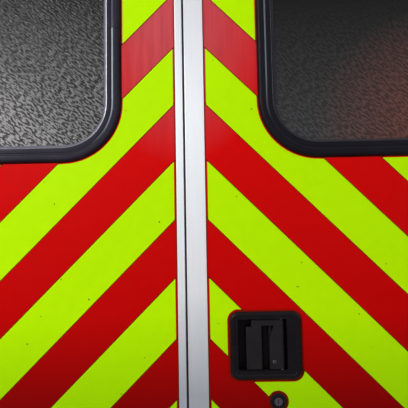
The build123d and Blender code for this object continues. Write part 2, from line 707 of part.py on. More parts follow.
# Hinges: three knuckles each, two on the frame and one on the leaf
def hinge_plates(outward, knuckles):
    """Three hinge plates with the given knuckles, reaching out over the frame or in over the leaf."""
    plate_near = AXIS_X + outward * SHUT_GAP / 2
    plate_far = plate_near + outward * HINGE_PLATE_WIDTH
    plate_y = FACE_Y - HINGE_PLATE
    with BuildPart() as hinges:
        for middle in HINGE_MIDDLES:
            low = middle - HINGE_HEIGHT / 2
            with BuildSketch(facing(plate_y)):
                with Locations(((plate_near + plate_far) / 2, middle)):
                    Rectangle(HINGE_PLATE_WIDTH, HINGE_HEIGHT)
                outer = vertices().sort_by(Axis.X, reverse=outward > 0)[:2]
                chamfer(outer, HINGE_BEVEL)
            extrude(amount=-HINGE_PLATE)
            for knuckle in knuckles:
                with BuildSketch(Plane.XY.offset(low + knuckle * (KNUCKLE_HEIGHT + KNUCKLE_GAP))):
                    with Locations((AXIS_X, AXIS_Y)):
                        Circle(BARREL_RADIUS)
                    with BuildLine():
                        Polyline(
                            (AXIS_X, AXIS_Y),
                            (AXIS_X + outward * BARREL_RADIUS, AXIS_Y),
                            (plate_near + outward * BARREL_RADIUS, plate_y),
                            (plate_near, plate_y),
                            close=True,
                        )
                    make_face()
                extrude(amount=KNUCKLE_HEIGHT)
            with BuildSketch(Plane.XY.offset(low)):
                with Locations((AXIS_X, AXIS_Y)):
                    Circle(PIN_RADIUS + PIN_CLEARANCE)
            extrude(amount=HINGE_HEIGHT, mode=Mode.SUBTRACT)
    return hinges.part


def frame_hinges():
    """The hinge halves on both posts."""
    right = hinge_plates(1, (0, 2))
    with BuildPart() as hinges:
        add(right)
        mirror(about=Plane.YZ)
    return hinges.part


def hinge_pins():
    """Pins of all six hinges."""
    length = HINGE_HEIGHT + 2 * PIN_PROUD
    with BuildPart() as pins:
        for middle in HINGE_MIDDLES:
            with BuildSketch(Plane.XY.offset(middle - length / 2)):
                with Locations((AXIS_X, AXIS_Y)):
                    Circle(PIN_RADIUS)
            extrude(amount=length)
        mirror(about=Plane.YZ)
    return pins.part


# Fittings on the frame
def frame_seal():
    """Hollow bulb seal on the stops, right round the doorway."""
    with BuildPart() as seal:
        seal_ring(SEAL_WIDTH, LEAF_BACK + SEAL_CLEARANCE, STOP_Y)
        front = seal.faces().sort_by(Axis.Y)[0]
        fillet(front.edges(), SEAL_ROUND)
        hollow = SEAL_WIDTH - 2 * SEAL_BULB_WALL
        seal_ring(hollow, LEAF_BACK + SEAL_CLEARANCE + SEAL_BULB_WALL, STOP_Y - SEAL_BULB_WALL, Mode.SUBTRACT)
        seal_ring(SEAL_FOOT, STOP_Y, STOP_Y + SEAL_FOOT_DEPTH)
    return seal.part


def seal_ring(width, y0, y1, mode=Mode.ADD):
    """Adds or cuts a rectangular ring along the middle of the stops."""
    across = 2 * OPENING_X - STOP_LIP
    up = HEADER_Z - FRAME_BOX - STOP_LIP
    with BuildSketch(facing(y0)) as ring:
        with Locations((0, (HEADER_Z + FRAME_BOX) / 2)):
            Rectangle(across + width, up + width)
            Rectangle(across - width, up - width, mode=Mode.SUBTRACT)
    extrude(ring.sketch, amount=y0 - y1, mode=mode)


def tread_plate():
    """Folded tread over the sill's stop, with holes for the lower bolts."""
    x = OPENING_X - STOP_LIP - TREAD_INSET
    with BuildPart() as tread:
        with BuildSketch(Plane.YZ.offset(-x)):
            with BuildLine():
                Polyline(
                    (STOP_Y - TREAD, TREAD_TOP),
                    (FRAME_BACK, TREAD_TOP),
                    (FRAME_BACK, SILL_STOP_Z),
                    (STOP_Y, SILL_STOP_Z),
                    (STOP_Y, TREAD_TOP - TREAD_NOSE),
                    (STOP_Y - TREAD, TREAD_TOP - TREAD_NOSE),
                    close=True,
                )
            make_face()
        extrude(amount=2 * x)
        with BuildSketch(Plane.XY.offset(SILL_STOP_Z)):
            with Locations((-BOLT_X, BOLT_Y), (BOLT_X, BOLT_Y)):
                Circle(BOLT_RADIUS + KEEP_HOLE_CLEARANCE)
        extrude(amount=TREAD, mode=Mode.SUBTRACT)
    return tread.part


def keeps():
    """Keep plates for the upper and lower bolts."""
    with BuildPart() as keeps:
        for z in (TREAD_TOP, KEEP_HIGH_BOTTOM):
            with BuildSketch(Plane.XY.offset(z)):
                with Locations(*[(x, (KEEP_Y0 + KEEP_Y1) / 2) for x in (-BOLT_X, BOLT_X)]):
                    Rectangle(KEEP_LENGTH, KEEP_Y1 - KEEP_Y0)
                with Locations((-BOLT_X, BOLT_Y), (BOLT_X, BOLT_Y)):
                    Circle(BOLT_RADIUS + KEEP_HOLE_CLEARANCE, mode=Mode.SUBTRACT)
            extrude(amount=KEEP_THICKNESS)
    return keeps.part


def gutter():
    """Drip gutter along the header."""
    half = FRAME_SIDE - GUTTER_SHORT
    low = HEADER_Z + GUTTER_UP
    front = FACE_Y - GUTTER_REACH
    with BuildPart() as gutter:
        with BuildSketch(Plane.YZ.offset(-half)):
            with BuildLine():
                Polyline(
                    (FACE_Y, low),
                    (FACE_Y, low + GUTTER_HEIGHT),
                    (FACE_Y - GUTTER_SHEET, low + GUTTER_HEIGHT),
                    (FACE_Y - GUTTER_SHEET, low + GUTTER_SHEET),
                    (front + GUTTER_SHEET, low + GUTTER_SHEET),
                    (front + GUTTER_SHEET, low + GUTTER_LIP),
                    (front, low + GUTTER_LIP),
                    (front, low),
                    close=True,
                )
            make_face()
        extrude(amount=2 * half)
    return gutter.part


# Handle and lock on the right leaf
def handle_bezel():
    """Flanged dish: a rounded-square bezel on the film with a deep recess behind the paddle."""
    with BuildPart() as bezel:
        block(HANDLE_X, HANDLE_Z, BEZEL_WIDTH, BEZEL_HEIGHT, BEZEL_FACE_Y, RED_Y, BEZEL_RADIUS)
        chamfer(bezel.faces().sort_by(Axis.Y)[0].edges(), BEZEL_BEVEL)
        with BuildSketch(facing(RED_Y)):
            dish_outline(DISH_WALL)
        extrude(amount=-(BEZEL_FACE_Y + RECESS_DEPTH + DISH_WALL - RED_Y))
        with BuildSketch(facing(BEZEL_FACE_Y)):
            dish_outline(0)
        extrude(amount=-RECESS_DEPTH, mode=Mode.SUBTRACT)
    return bezel.part


def paddle():
    """Pull paddle: grip, finger trough and a flat that hinges on an upright pin, with a bar across the top."""
    face = PADDLE_FACE_Y
    sheet = PADDLE_SHEET
    trough = face + PADDLE_TROUGH_DEPTH
    left = HANDLE_X + PADDLE_LEFT
    grip = HANDLE_X + PADDLE_TROUGH_LEFT
    flat = HANDLE_X + PADDLE_TROUGH_RIGHT
    funnel = PADDLE_HIGH - PADDLE_BAR
    with BuildPart() as paddle:
        with BuildSketch(Plane.XY.offset(PADDLE_LOW)):
            with BuildLine():
                Polyline(
                    (left, face),
                    (grip, face),
                    (grip + sheet, trough),
                    (flat - sheet, trough),
                    (flat, face),
                    (EYE_X, face),
                    (EYE_X, face + sheet),
                    (flat + sheet, face + sheet),
                    (flat, trough + sheet),
                    (grip, trough + sheet),
                    (grip - sheet, face + sheet),
                    (left + sheet, face + sheet),
                    (left + sheet, trough),
                    (left, trough),
                    close=True,
                )
            make_face()
            fillet(vertices().group_by(Axis.Y)[0].filter_by(lambda v: v.X < EYE_X - sheet), PADDLE_ROUND)
            with Locations((EYE_X, EYE_Y)):
                Circle(PADDLE_EYE_RADIUS)
                Circle(PADDLE_PIN_RADIUS + PIN_CLEARANCE, mode=Mode.SUBTRACT)
        extrude(amount=PADDLE_HIGH - PADDLE_LOW)
        step_z = PADDLE_HIGH - PADDLE_STEP_HEIGHT
        slab(left, left + PADDLE_STEP, step_z, PADDLE_HIGH, face, trough, mode=Mode.SUBTRACT)
        with BuildSketch(facing(face)):
            with BuildLine():
                Polyline(
                    (flat - sheet, funnel),
                    (flat + PADDLE_FUNNEL, funnel),
                    (flat, funnel - PADDLE_FUNNEL_HEIGHT),
                    (flat - sheet, funnel - PADDLE_FUNNEL_HEIGHT),
                    close=True,
                )
            make_face()
        extrude(amount=-(sheet + PADDLE_ROUND), mode=Mode.SUBTRACT)
        slab(left + PADDLE_STEP, EYE_X - PADDLE_EYE_RADIUS, funnel, PADDLE_HIGH, face, face + sheet)
    return paddle.part


def paddle_pin():
    """The upright pin, held in the dish's upper and lower walls."""
    with BuildPart() as pin:
        with BuildSketch(Plane.XY.offset(HANDLE_Z + RECESS_BOTTOM)):
            with Locations((EYE_X, EYE_Y)):
                Circle(PADDLE_PIN_RADIUS)
        extrude(amount=RECESS_TOP - RECESS_BOTTOM)
    return pin.part


def lock_ring():
    """Round escutcheon and sleeve of the key lock."""
    with BuildPart() as ring:
        with BuildSketch(facing(RED_Y - LOCK_RING_PROUD)):
            with Locations((LOCK_X, LOCK_Z)):
                Circle(LOCK_RING_RADIUS)
        extrude(amount=-LOCK_RING_PROUD)
        chamfer(ring.faces().sort_by(Axis.Y)[0].edges(), LOCK_RING_BEVEL)
        with BuildSketch(facing(RED_Y)):
            with Locations((LOCK_X, LOCK_Z)):
                Circle(LOCK_SLEEVE_RADIUS)
        extrude(amount=-(LOCK_LENGTH - LOCK_BARREL_PROUD))
        with BuildSketch(facing(RED_Y - LOCK_RING_PROUD)):
            with Locations((LOCK_X, LOCK_Z)):
                Circle(LOCK_BARREL_RADIUS + PIN_CLEARANCE)
        extrude(amount=-(LOCK_LENGTH + LOCK_RING_PROUD), mode=Mode.SUBTRACT)
    return ring.part


def lock_barrel():
    """The key barrel, with its slot."""
    face = RED_Y - LOCK_BARREL_PROUD
    with BuildPart() as barrel:
        with BuildSketch(facing(face)):
            with Locations((LOCK_X, LOCK_Z)):
                Circle(LOCK_BARREL_RADIUS)
        extrude(amount=-LOCK_LENGTH)
        with BuildSketch(facing(face)):
            with Locations((LOCK_X, LOCK_Z)):
                Rectangle(KEY_SLOT_WIDTH, KEY_SLOT_HEIGHT)
        extrude(amount=-KEY_SLOT_DEPTH, mode=Mode.SUBTRACT)
    return barrel.part


FRAME_PIECES = {
    "posts": posts,
    "header": lambda: cross_member(HEADER_Z, 1, FLANGE_WIDTH),
    "sill": lambda: cross_member(FRAME_BOX, -1, 0),
    "frame_seal": frame_seal,
    "frame_hinges": frame_hinges,
    "hinge_pins": hinge_pins,
    "drip_gutter": gutter,
    "tread_plate": tread_plate,
    "bolt_keeps": keeps,
}
LEAF_PIECES = {
    "panel": panel,
    "red_film": red_film,
    "yellow_film": yellow_film,
    "meeting_stile": meeting_stile,
    "hinge_stile": hinge_stile,
    "rails": rails,
    "window_glass": glass,
    "window_rubber": rubber,
    "rubber_filler": filler,
    "meeting_seal": edge_seal,
    "liner": liner,
    "window_trim": window_trim,
    "grab_handle": grab_handle,
    "bolt_guides": bolt_guides,
    "bolts": bolts,
    "bolt_lever": bolt_lever,
    "hinge_plates": lambda side: hinge_plates(-1, (1,)),
}
RIGHT_PIECES = {
    "handle_bezel": handle_bezel,
    "handle_paddle": paddle,
    "handle_pin": paddle_pin,
    "lock_ring": lock_ring,
    "lock_barrel": lock_barrel,
}

os.makedirs("parts", exist_ok=True)
for name, make in FRAME_PIECES.items():
    write(make(), name)
for side in SIDES:
    for name, make in LEAF_PIECES.items():
        write(handed(make(side), side), f"{side}_{name}")
for name, make in RIGHT_PIECES.items():
    write(make(), name)
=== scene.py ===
"""Dresses the ambulance rear doors: films, anodised extrusions, glazing rubber, glass and fittings.

Sizes are in metres in the frame's own axes: X across the doorway, Y into the vehicle, Z up.
"""

import math

import bmesh
import bpy
import numpy as np
from bpy.props import FloatProperty, FloatVectorProperty, PointerProperty
from mathutils import Matrix, Vector


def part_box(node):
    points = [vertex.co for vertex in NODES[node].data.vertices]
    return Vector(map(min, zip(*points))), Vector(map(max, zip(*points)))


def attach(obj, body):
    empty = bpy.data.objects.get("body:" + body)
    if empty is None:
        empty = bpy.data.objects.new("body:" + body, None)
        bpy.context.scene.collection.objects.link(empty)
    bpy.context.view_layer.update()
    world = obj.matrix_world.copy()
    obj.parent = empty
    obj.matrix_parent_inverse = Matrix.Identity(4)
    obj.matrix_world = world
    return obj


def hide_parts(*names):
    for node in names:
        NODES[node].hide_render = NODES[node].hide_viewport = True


bl_info = {
    "name": "Ambulance rear doors",
    "version": (1, 0, 0),
    "blender": (4, 5, 0),
    "location": "View3D > Sidebar > Rear doors",
    "description": "Finishes and small parts for a pair of ambulance rear doors in their frame",
    "category": "Object",
}

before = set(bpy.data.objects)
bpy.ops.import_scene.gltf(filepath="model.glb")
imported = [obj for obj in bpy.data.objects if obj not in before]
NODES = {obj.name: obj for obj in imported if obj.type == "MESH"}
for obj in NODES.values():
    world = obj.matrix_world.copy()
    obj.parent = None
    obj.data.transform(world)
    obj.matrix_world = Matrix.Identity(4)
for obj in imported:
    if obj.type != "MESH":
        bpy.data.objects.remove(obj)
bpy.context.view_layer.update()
SIDES = (("left", -1.0), ("right", 1.0))
MM = 0.001

# Where the pieces lie, read from the frame
RUBBER_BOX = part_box("right_window_rubber")
PANE_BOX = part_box("right_window_glass")
FILLER_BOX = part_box("right_rubber_filler")
FILM_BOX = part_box("right_red_film")
PANEL_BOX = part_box("right_panel")
LINER_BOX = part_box("right_liner")
PLATE_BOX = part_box("right_hinge_plates")
HINGE_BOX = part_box("frame_hinges")
GRAB_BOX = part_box("right_grab_handle")
GUIDE_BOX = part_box("right_bolt_guides")
TRIM_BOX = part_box("right_window_trim")
TREAD_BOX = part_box("tread_plate")
LEAF_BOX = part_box("right_hinge_stile")
KEEP_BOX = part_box("bolt_keeps")
BEZEL_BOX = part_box("handle_bezel")
PADDLE_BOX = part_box("handle_paddle")
LOCK_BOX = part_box("lock_ring")
SEAL_BOXES = {side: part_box(f"{side}_meeting_seal") for side, _ in SIDES}

# Sizes of the rubber's section and places of the fittings, as in the part
CORNER_RADIUS = 107 * MM
PANEL_BITE = 11.5 * MM
RUBBER_WIDTH = 28 * MM
GLAZING_FLANGE = 8 * MM
GROOVE = (12.7 * MM, 15.3 * MM)
GROOVE_DEPTH = 0.5 * MM
LIP_CREST = 25 * MM
SLOPE_END = 31 * MM
CHEVRON_PEAK = RUBBER_BOX[0].z + 344.4 * MM
STRIPE_WIDTH = 75 * MM
STRIPE_RISE = STRIPE_WIDTH * math.sqrt(2)
SEAM_X = -11 * MM
SEAL_GAP = 0.05 * MM
LIP_OUTER = 26.1 * MM
HINGE_MIDDLES = np.array((240, 940, 1640)) * MM
GRAB_MIDDLES = np.array((190, 500)) * MM
BOLT_X = 66 * MM
HANDLE_X = 128 * MM
HANDLE_Z = 684.6 * MM
BEZEL_RADIUS = 15 * MM
GRIP_X = HANDLE_X - 32.4 * MM
GRIP_TOP = PADDLE_BOX[1].z - 12.5 * MM
GRIP_RADIUS = 2.1 * MM
RIVET_PLACE = (HANDLE_X + 14.7 * MM, PADDLE_BOX[0].y, HANDLE_Z - 29.4 * MM)
RIVET_RADIUS = 3.6 * MM
PLATE_FACE_Y = LEAF_BOX[0].y - 4.5 * MM
GRAB_FOOT_Y = LINER_BOX[1].y + 5 * MM
GUIDE_FACE_Y = LINER_BOX[1].y + 25 * MM

# Screws, measured from the middle of what they hold, or in from its edge
HINGE_SCREWS_X = np.array((11, 30)) * MM
HINGE_SCREWS_Z = np.array((-30, 30)) * MM
GRAB_SCREWS_X = np.array((-13.5, 13.5)) * MM
GRAB_SCREWS_Z = np.array((-24, 24)) * MM
GUIDE_END = 18 * MM
GUIDE_SCREWS_Z = np.array((-11, 11)) * MM
CASE_SCREWS_X = np.array((-14, 14)) * MM
CASE_SCREWS_Z = np.array((-44, 44)) * MM
KEEP_SCREWS_X = np.array((-14, 14)) * MM
KEEP_PLATE = 3 * MM
TRIM_SCREWS_X = np.array((-110, 0, 110)) * MM
TRIM_SCREWS_Z = np.array((-200, -67, 67, 200)) * MM
TRIM_EDGE = 7 * MM
LINER_EDGE = 9 * MM
LINER_COLUMNS, LINER_ROWS = 4, 8
TREAD_SCREWS_X = np.array((-555, -370, -185, 0, 185, 370, 555)) * MM
TREAD_SCREWS_Y = TREAD_BOX[0].y + 14 * MM

# Smaller screw heads, as shares of the screws' radius
MIDDLE_HEAD, SMALL_HEAD = 0.8, 0.66

# Ribs of the tread: the depth of each row, and where each rib of a row starts and ends
TREAD_RIBS_Y = TREAD_BOX[0].y + np.array((7, 21)) * MM
TREAD_RIBS_X = np.array(((-575, -95), (-38, 38), (95, 575))) * MM

# Heights of the painted shade towards the foot and the strips' head, and where a painted highlight pales the
# red film
FOOT_SHADE_Z = (0.56, 0.74)
RED_FOOT_SHADE_Z = (0.58, 1.05)
STRIP_FOOT_SHADE_Z = (0.6, 0.78)
STRIP_HEAD_SHADE_Z = (1.12, 1.3)
RED_HIGHLIGHT_MIDDLE, RED_HIGHLIGHT_REACH = (-0.02, 0, 1.33), (0.2, 1, 0.32)

# Colours of the dark edges on the red (a painted shadow beside the meeting strips, and dark lines along the
# stripes and round the fittings), of the specks of dirt on the yellow and of the strips' painted shade, and
# the lines' reach
RED_DARK_EDGES = (0.12, 0.008, 0.002)
YELLOW_SPECK = (0.1, 0.16, 0.01)
STRIP_SHADE_COLOR = (0.165, 0.185, 0.235)
DARK_LINE_REACH = 2.4 * MM

# Each window's look says how light the rubber, the filler strip and the lip are, how far up the filler is
# dark, and at what height both strips are joined. The filler's and lip's pale colours are painted highlights,
# strong on the left window where light from the left catches them and dim on the right one, whose rubber is
# darker too.
WINDOW_LOOKS = {
    "left": {"rubber": 1.0, "filler": 1.0, "lip": 1.0, "fade": 120 * MM, "joint": RUBBER_BOX[0].z + 249 * MM},
    "right": {"rubber": 0.4, "filler": 0.34, "lip": 0.2, "fade": 160 * MM, "joint": RUBBER_BOX[1].z},
}

# Camera, its angles in degrees and its lens in millimetres, floor, backdrop and world
CAMERA_PLACE = (0.04215, -0.9948, 0.8454)
CAMERA_YAW, CAMERA_PITCH, CAMERA_ROLL = 1.087, 5.279, 1.019
LENS = 48.53
FLOOR_HALF = 30.0
FLOOR_FADE = 5.0
BACKDROP = (0.85, 0.86, 0.87)
AMBIENT, AMBIENT_STRENGTH = (0.9, 0.92, 0.95), 0.26

# Soft lights: place, target, width and height in metres. All but the key light give their power in watts too.
KEY_LIGHT = ((-2.0, -2.2, 2.3), (0, 0, 1.0), (0.9, 0.9))
OTHER_LIGHTS = {
    "fill": ((2.2, -1.6, 1.9), (0.3, 0, 1.0), (0.9, 0.9), 11),
    "left_glow": ((-0.86, -1.5, 1.66), (-0.25, 0, 1.1), (0.55, 0.6), 10),
    "back": ((0.4, 2.4, 2.4), (0, 0, 0.9), (1.4, 1.2), 42),
}


def settings():
    """The scene's own settings group."""
    return bpy.context.scene.rear_doors


def color_setting(label, words, default):
    """A colour that a user may change."""
    return FloatVectorProperty(
        name=label, description=words, subtype="COLOR", size=3, min=0, max=1, default=default,
    )


def size_setting(label, words, default, most):
    """A length that a user may change."""
    return FloatProperty(
        name=label, description=words, subtype="DISTANCE", unit="LENGTH", min=0, max=most, default=default,
    )


class RearDoorSettings(bpy.types.PropertyGroup):
    """Colours and sizes of the rear doors that a user may change."""

    red: color_setting("Red film", "Colour of the red film", (0.66, 0.002, 0.002))
    # The faded red is a painted highlight: a paler red for a light's broad reflection near the meeting edges.
    red_highlight: color_setting("Faded red", "Colour of the red film where it has faded", (0.62, 0.085, 0.1))
    yellow: color_setting("Yellow film", "Colour of the fluorescent film", (0.5, 0.9, 0.0))
    metal: color_setting("Anodised metal", "Colour of the frame's extrusions", (0.56, 0.57, 0.59))
    strip: color_setting("Meeting strips", "Colour of the strips beside the seam", (0.835, 0.85, 0.885))
    rubber: color_setting("Rubber", "Colour of the glazing rubber", (0.009, 0.007, 0.015))
    # The filler strip's pale colour is a painted highlight.
    filler: color_setting("Filler strip", "Colour of the strip in the rubber's groove", (0.4, 0.46, 0.53))
    # The lip bead's pale colour is a painted highlight.
    bead: color_setting("Lip bead", "Colour of the bead round the glass", (0.78, 0.8, 0.85))
    # The lip slope's colour is a painted reflection.
    slope: color_setting("Lip slope", "Colour of the rubber's slope down to the glass", (0.17, 0.16, 0.21))
    fittings: color_setting("Black fittings", "Colour of the handle and lock", (0.006, 0.005, 0.006))
    pane: color_setting("Privacy glass", "Body colour of the patterned panes", (0.007, 0.007, 0.007))
    pebble: size_setting("Glass pebble", "Length of a pebble in the panes' pattern", 0.0094, 0.03)
    pebble_depth: size_setting("Pebble depth", "Depth of the pattern in the panes", 0.0017, 0.005)
    screw_radius: size_setting("Screw head", "Radius of the screw heads", 0.0046, 0.01)
    bead_width: size_setting("Bead width", "Width of the bead round the glass", 0.0012, 0.006)
    # The dark fillet round the glazing rubber is a painted shadow along its edge.
    rubber_shadow: size_setting("Sealant", "Width of the sealant round the glazing rubber", 0.0026, 0.005)
    rib_width: size_setting("Tread rib", "Width of a rib on the tread", 0.003, 0.01)
    key_light: FloatProperty(
        name="Key light", description="Power of the main soft light", subtype="POWER",
        min=0, max=2000, default=43,
    )


class Finish:
    """A node material with one Principled shader, and short ways to chain nodes to its sockets."""

    def __init__(self, name, color, roughness, metallic=0.0, **sockets):
        self.material = bpy.data.materials.new(name)
        self.material.use_nodes = True
        self.tree = self.material.node_tree
        self.shader = self.tree.nodes["Principled BSDF"]
        self.shader.inputs["Base Color"].default_value = (*color, 1.0)
        self.shader.inputs["Roughness"].default_value = roughness
        self.shader.inputs["Metallic"].default_value = metallic
        for socket, value in sockets.items():
            self.shader.inputs[socket.replace("_", " ")].default_value = value
        self.place = self.add("ShaderNodeTexCoord").outputs["Object"]

    def add(self, kind, **values):
        """Adds a node and sets its attributes."""
        node = self.tree.nodes.new(kind)
        for name, value in values.items():
            setattr(node, name, value)
        return node

    def link(self, source, target):
        """Joins an output to an input."""
        self.tree.links.new(source, target)

    def axis(self, name):
        """One of the Object coordinates."""
        split = self.add("ShaderNodeSeparateXYZ")
        self.link(self.place, split.inputs["Vector"])
        return split.outputs[name]

    def far(self, middle, reach):
        """How far a place is from a middle, as a share of a reach along each axis."""
        mapping = self.add("ShaderNodeMapping", vector_type="TEXTURE")
        mapping.inputs["Location"].default_value = middle
        mapping.inputs["Scale"].default_value = reach
        self.link(self.place, mapping.inputs["Vector"])
        length = self.add("ShaderNodeVectorMath", operation="LENGTH")
        self.link(mapping.outputs["Vector"], length.inputs[0])
        return length.outputs["Value"]

    def near(self, middle, reach):
        """A value of 1 near a middle that falls to 0 at a reach along each axis."""
        return self.ramp(self.far(middle, reach), 0.35, 1.0, 1.0, 0.0)

    def noise(self, scale, detail=3.0, stretch=(1, 1, 1), turn=0.0, distortion=0.0):
        """Noise over Object coordinates turned about Y, its grain longer where the stretch is larger."""
        mapping = self.add("ShaderNodeMapping", vector_type="TEXTURE")
        mapping.inputs["Scale"].default_value = stretch
        mapping.inputs["Rotation"].default_value = (0, turn, 0)
        self.link(self.place, mapping.inputs["Vector"])
        node = self.add("ShaderNodeTexNoise")
        node.inputs["Scale"].default_value = scale
        node.inputs["Detail"].default_value = detail
        node.inputs["Distortion"].default_value = distortion
        self.link(mapping.outputs["Vector"], node.inputs["Vector"])
        return node.outputs["Fac"]

    def ramp(self, value, low, high, out_low=0.0, out_high=1.0):
        """Maps a value between two limits to two others, clamped."""
        node = self.add("ShaderNodeMapRange")
        limits = {"From Min": low, "From Max": high, "To Min": out_low, "To Max": out_high}
        for socket, number in limits.items():
            node.inputs[socket].default_value = number
        self.link(value, node.inputs["Value"])
        return node.outputs["Result"]

    def math(self, operation, a, b):
        """Joins two values by a sum, a product or the larger of the two."""
        node = self.add("ShaderNodeMath", operation=operation)
        self.link(a, node.inputs[0])
        self.link(b, node.inputs[1])
        return node.outputs["Value"]

    def less(self, value, number):
        """A value less a number."""
        node = self.add("ShaderNodeMath", operation="SUBTRACT")
        self.link(value, node.inputs[0])
        node.inputs[1].default_value = number
        return node.outputs["Value"]

    def distance(self, value, middle):
        """How far a value is from a middle."""
        size = self.add("ShaderNodeMath", operation="ABSOLUTE")
        self.link(self.less(value, middle), size.inputs[0])
        return size.outputs["Value"]

    def mix(self, value, a, b):
        """Mixes two colours by a value; each is a plain colour or another mix."""
        node = self.add("ShaderNodeMix", data_type="RGBA")
        self.link(value, node.inputs[0])
        for color, socket in ((a, node.inputs[6]), (b, node.inputs[7])):
            if isinstance(color, tuple):
                socket.default_value = (*color, 1.0)
            else:
                self.link(color, socket)
        return node.outputs[2]

    def color(self, mixed):
        """Sends a mix to the base colour."""
        self.link(mixed, self.shader.inputs["Base Color"])
        return self

    def rough(self, value, low, high):
        """Sends a value, mapped to a range, to the roughness."""
        self.link(self.ramp(value, 0.3, 0.7, low, high), self.shader.inputs["Roughness"])

    def bump(self, *heights):
        """Chains bumps, each a height value with its depth in metres, into the shader's normal."""
        last = None
        for value, depth in heights:
            node = self.add("ShaderNodeBump")
            node.inputs["Strength"].default_value = 1.0
            node.inputs["Distance"].default_value = depth
            self.link(value, node.inputs["Height"])
            if last:
                self.link(last, node.inputs["Normal"])
            last = node.outputs["Normal"]
        self.link(last, self.shader.inputs["Normal"])
        return self


def shade(color, factor):
    """A colour made lighter or darker."""
    return tuple(min(1.0, c * factor) for c in color)


def tint(color, *factors):
    """A colour whose red, green and blue each change by their own factor."""
    return tuple(c * factor for c, factor in zip(color, factors))


def film(name, color):
    """Glossy reflective film without its colours: an orange-peel surface and fine grain."""
    look = Finish(name, color, 0.4, Specular_IOR_Level=0.02, Coat_Weight=0.04, Coat_Roughness=0.15)
    look.rough(look.noise(9.0, 3.0), 0.34, 0.46)
    return look.bump((look.noise(60.0, 2.0), 0.00004), (look.noise(900.0, 1.0), 0.00001))


def painted_foot_shade(look):
    """Painted shade over the doors' lower part, where the light falls off towards the foot."""
    return look.ramp(look.axis("Z"), *FOOT_SHADE_Z, 0.6, 0)


def stripe_edges(look, reach):
    """Fine lines along the stripes' edges, fading out past a reach.

    The edges lie where |X| + Z is a whole number of stripe rises from the chevron's peak.
    """
    folded = look.math("ADD", look.distance(look.axis("X"), 0.0), look.axis("Z"))
    away = look.add("ShaderNodeMath", operation="PINGPONG")
    look.link(look.less(folded, CHEVRON_PEAK), away.inputs[0])
    away.inputs[1].default_value = STRIPE_RISE / 2
    return look.ramp(away.outputs["Value"], 0.6 * reach, 1.4 * reach, 0.9, 0)


def fitting_edges(look):
    """Bands round the handle's bezel and the lock ring, fading out across the red that shows there.

    Round the bezel the distance is the length of how far X and Z lie beyond its straight edges' ends.
    """
    middle, half = (BEZEL_BOX[0] + BEZEL_BOX[1]) / 2, (BEZEL_BOX[1] - BEZEL_BOX[0]) / 2
    corner = look.add("ShaderNodeCombineXYZ")
    for name, centre, reach in (("X", middle.x, half.x), ("Z", middle.z, half.z)):
        straight = reach - BEZEL_RADIUS
        beyond = look.ramp(look.distance(look.axis(name), centre), straight, straight + 1.0)
        look.link(beyond, corner.inputs[name])
    length = look.add("ShaderNodeVectorMath", operation="LENGTH")
    look.link(corner.outputs["Vector"], length.inputs[0])
    bezel = look.ramp(length.outputs["Value"], BEZEL_RADIUS + 0.5 * MM, BEZEL_RADIUS + 5 * MM, 0.8, 0)
    hub, radius = (LOCK_BOX[0] + LOCK_BOX[1]) / 2, (LOCK_BOX[1].x - LOCK_BOX[0].x) / 2
    lock = look.ramp(look.far((hub.x, 0, hub.z), (radius, 1, radius)), 1.05, 1.4, 0.85, 0)
    return look.math("MAXIMUM", bezel, lock)


def red_finish():
    """Red film, paler and streaked beside the meeting edges at eye height by a painted highlight, where a
    light's broad reflection falls, and darker towards the foot by painted shade.

    A painted shadow darkens it along the meeting strips, which stand proud of it; it is darker too in fine
    lines along the stripes that lie on it, and round the handle and the lock.
    """
    red, highlight_red = tuple(settings().red), tuple(settings().red_highlight)
    look = film("red_film", red)
    mottled = look.mix(look.noise(45.0, 4.0), shade(red, 0.94), shade(red, 1.05))
    grain = look.ramp(look.noise(110.0, 2.0, (1, 1, 14)), 0.35, 0.65)
    streaked = look.mix(grain, shade(highlight_red, 0.84), shade(highlight_red, 1.14))
    cloudy = look.mix(look.noise(7.0, 4.0, (1, 1, 3)), streaked, shade(highlight_red, 0.75))
    # Painted highlight: a paler, streaked red round a middle near the meeting edges, for a light's broad
    # reflection.
    red_highlight_mask = look.near(RED_HIGHLIGHT_MIDDLE, RED_HIGHLIGHT_REACH)
    patchy_highlight = look.math("MULTIPLY", red_highlight_mask, look.ramp(look.noise(5.0), 0.2, 0.6, 0.75, 1))
    upper = look.mix(patchy_highlight, mottled, cloudy)
    # Painted shade: darker towards the foot, where the light falls off.
    shade_at_foot = look.math("ADD", painted_foot_shade(look), look.ramp(look.axis("Z"), *RED_FOOT_SHADE_Z, 0.4, 0))
    # Painted shadow beside the meeting strips, which stand proud of the film; the fine lines and the bands
    # round the fittings are only darker red.
    edge = look.ramp(look.distance(look.axis("X"), 0.0), LIP_OUTER + 1 * MM, LIP_OUTER + 4 * MM, 0.8, 0)
    lines = look.math("MAXIMUM", edge, stripe_edges(look, DARK_LINE_REACH))
    dirt_and_shadow = look.math("MAXIMUM", lines, fitting_edges(look))
    look.color(look.mix(dirt_and_shadow, look.mix(shade_at_foot, upper, shade(red, 0.3)), RED_DARK_EDGES))
    return look.material


def yellow_finish():
    """Fluorescent film, greener and darker towards the foot by painted shade, with a few specks of dirt."""
    yellow = tuple(settings().yellow)
    look = film("yellow_film", yellow)
    mottled = look.mix(look.noise(45.0, 4.0), shade(yellow, 0.96), shade(yellow, 1.03))
    # Painted shade: greener and darker towards the foot.
    light_and_shade = look.mix(painted_foot_shade(look), mottled, tint(yellow, 0.42, 0.55, 0.0))
    specks = look.ramp(look.noise(110.0, 1.0), 0.785, 0.805, 0, 0.85)
    look.color(look.mix(specks, light_and_shade, YELLOW_SPECK))
    return look.material


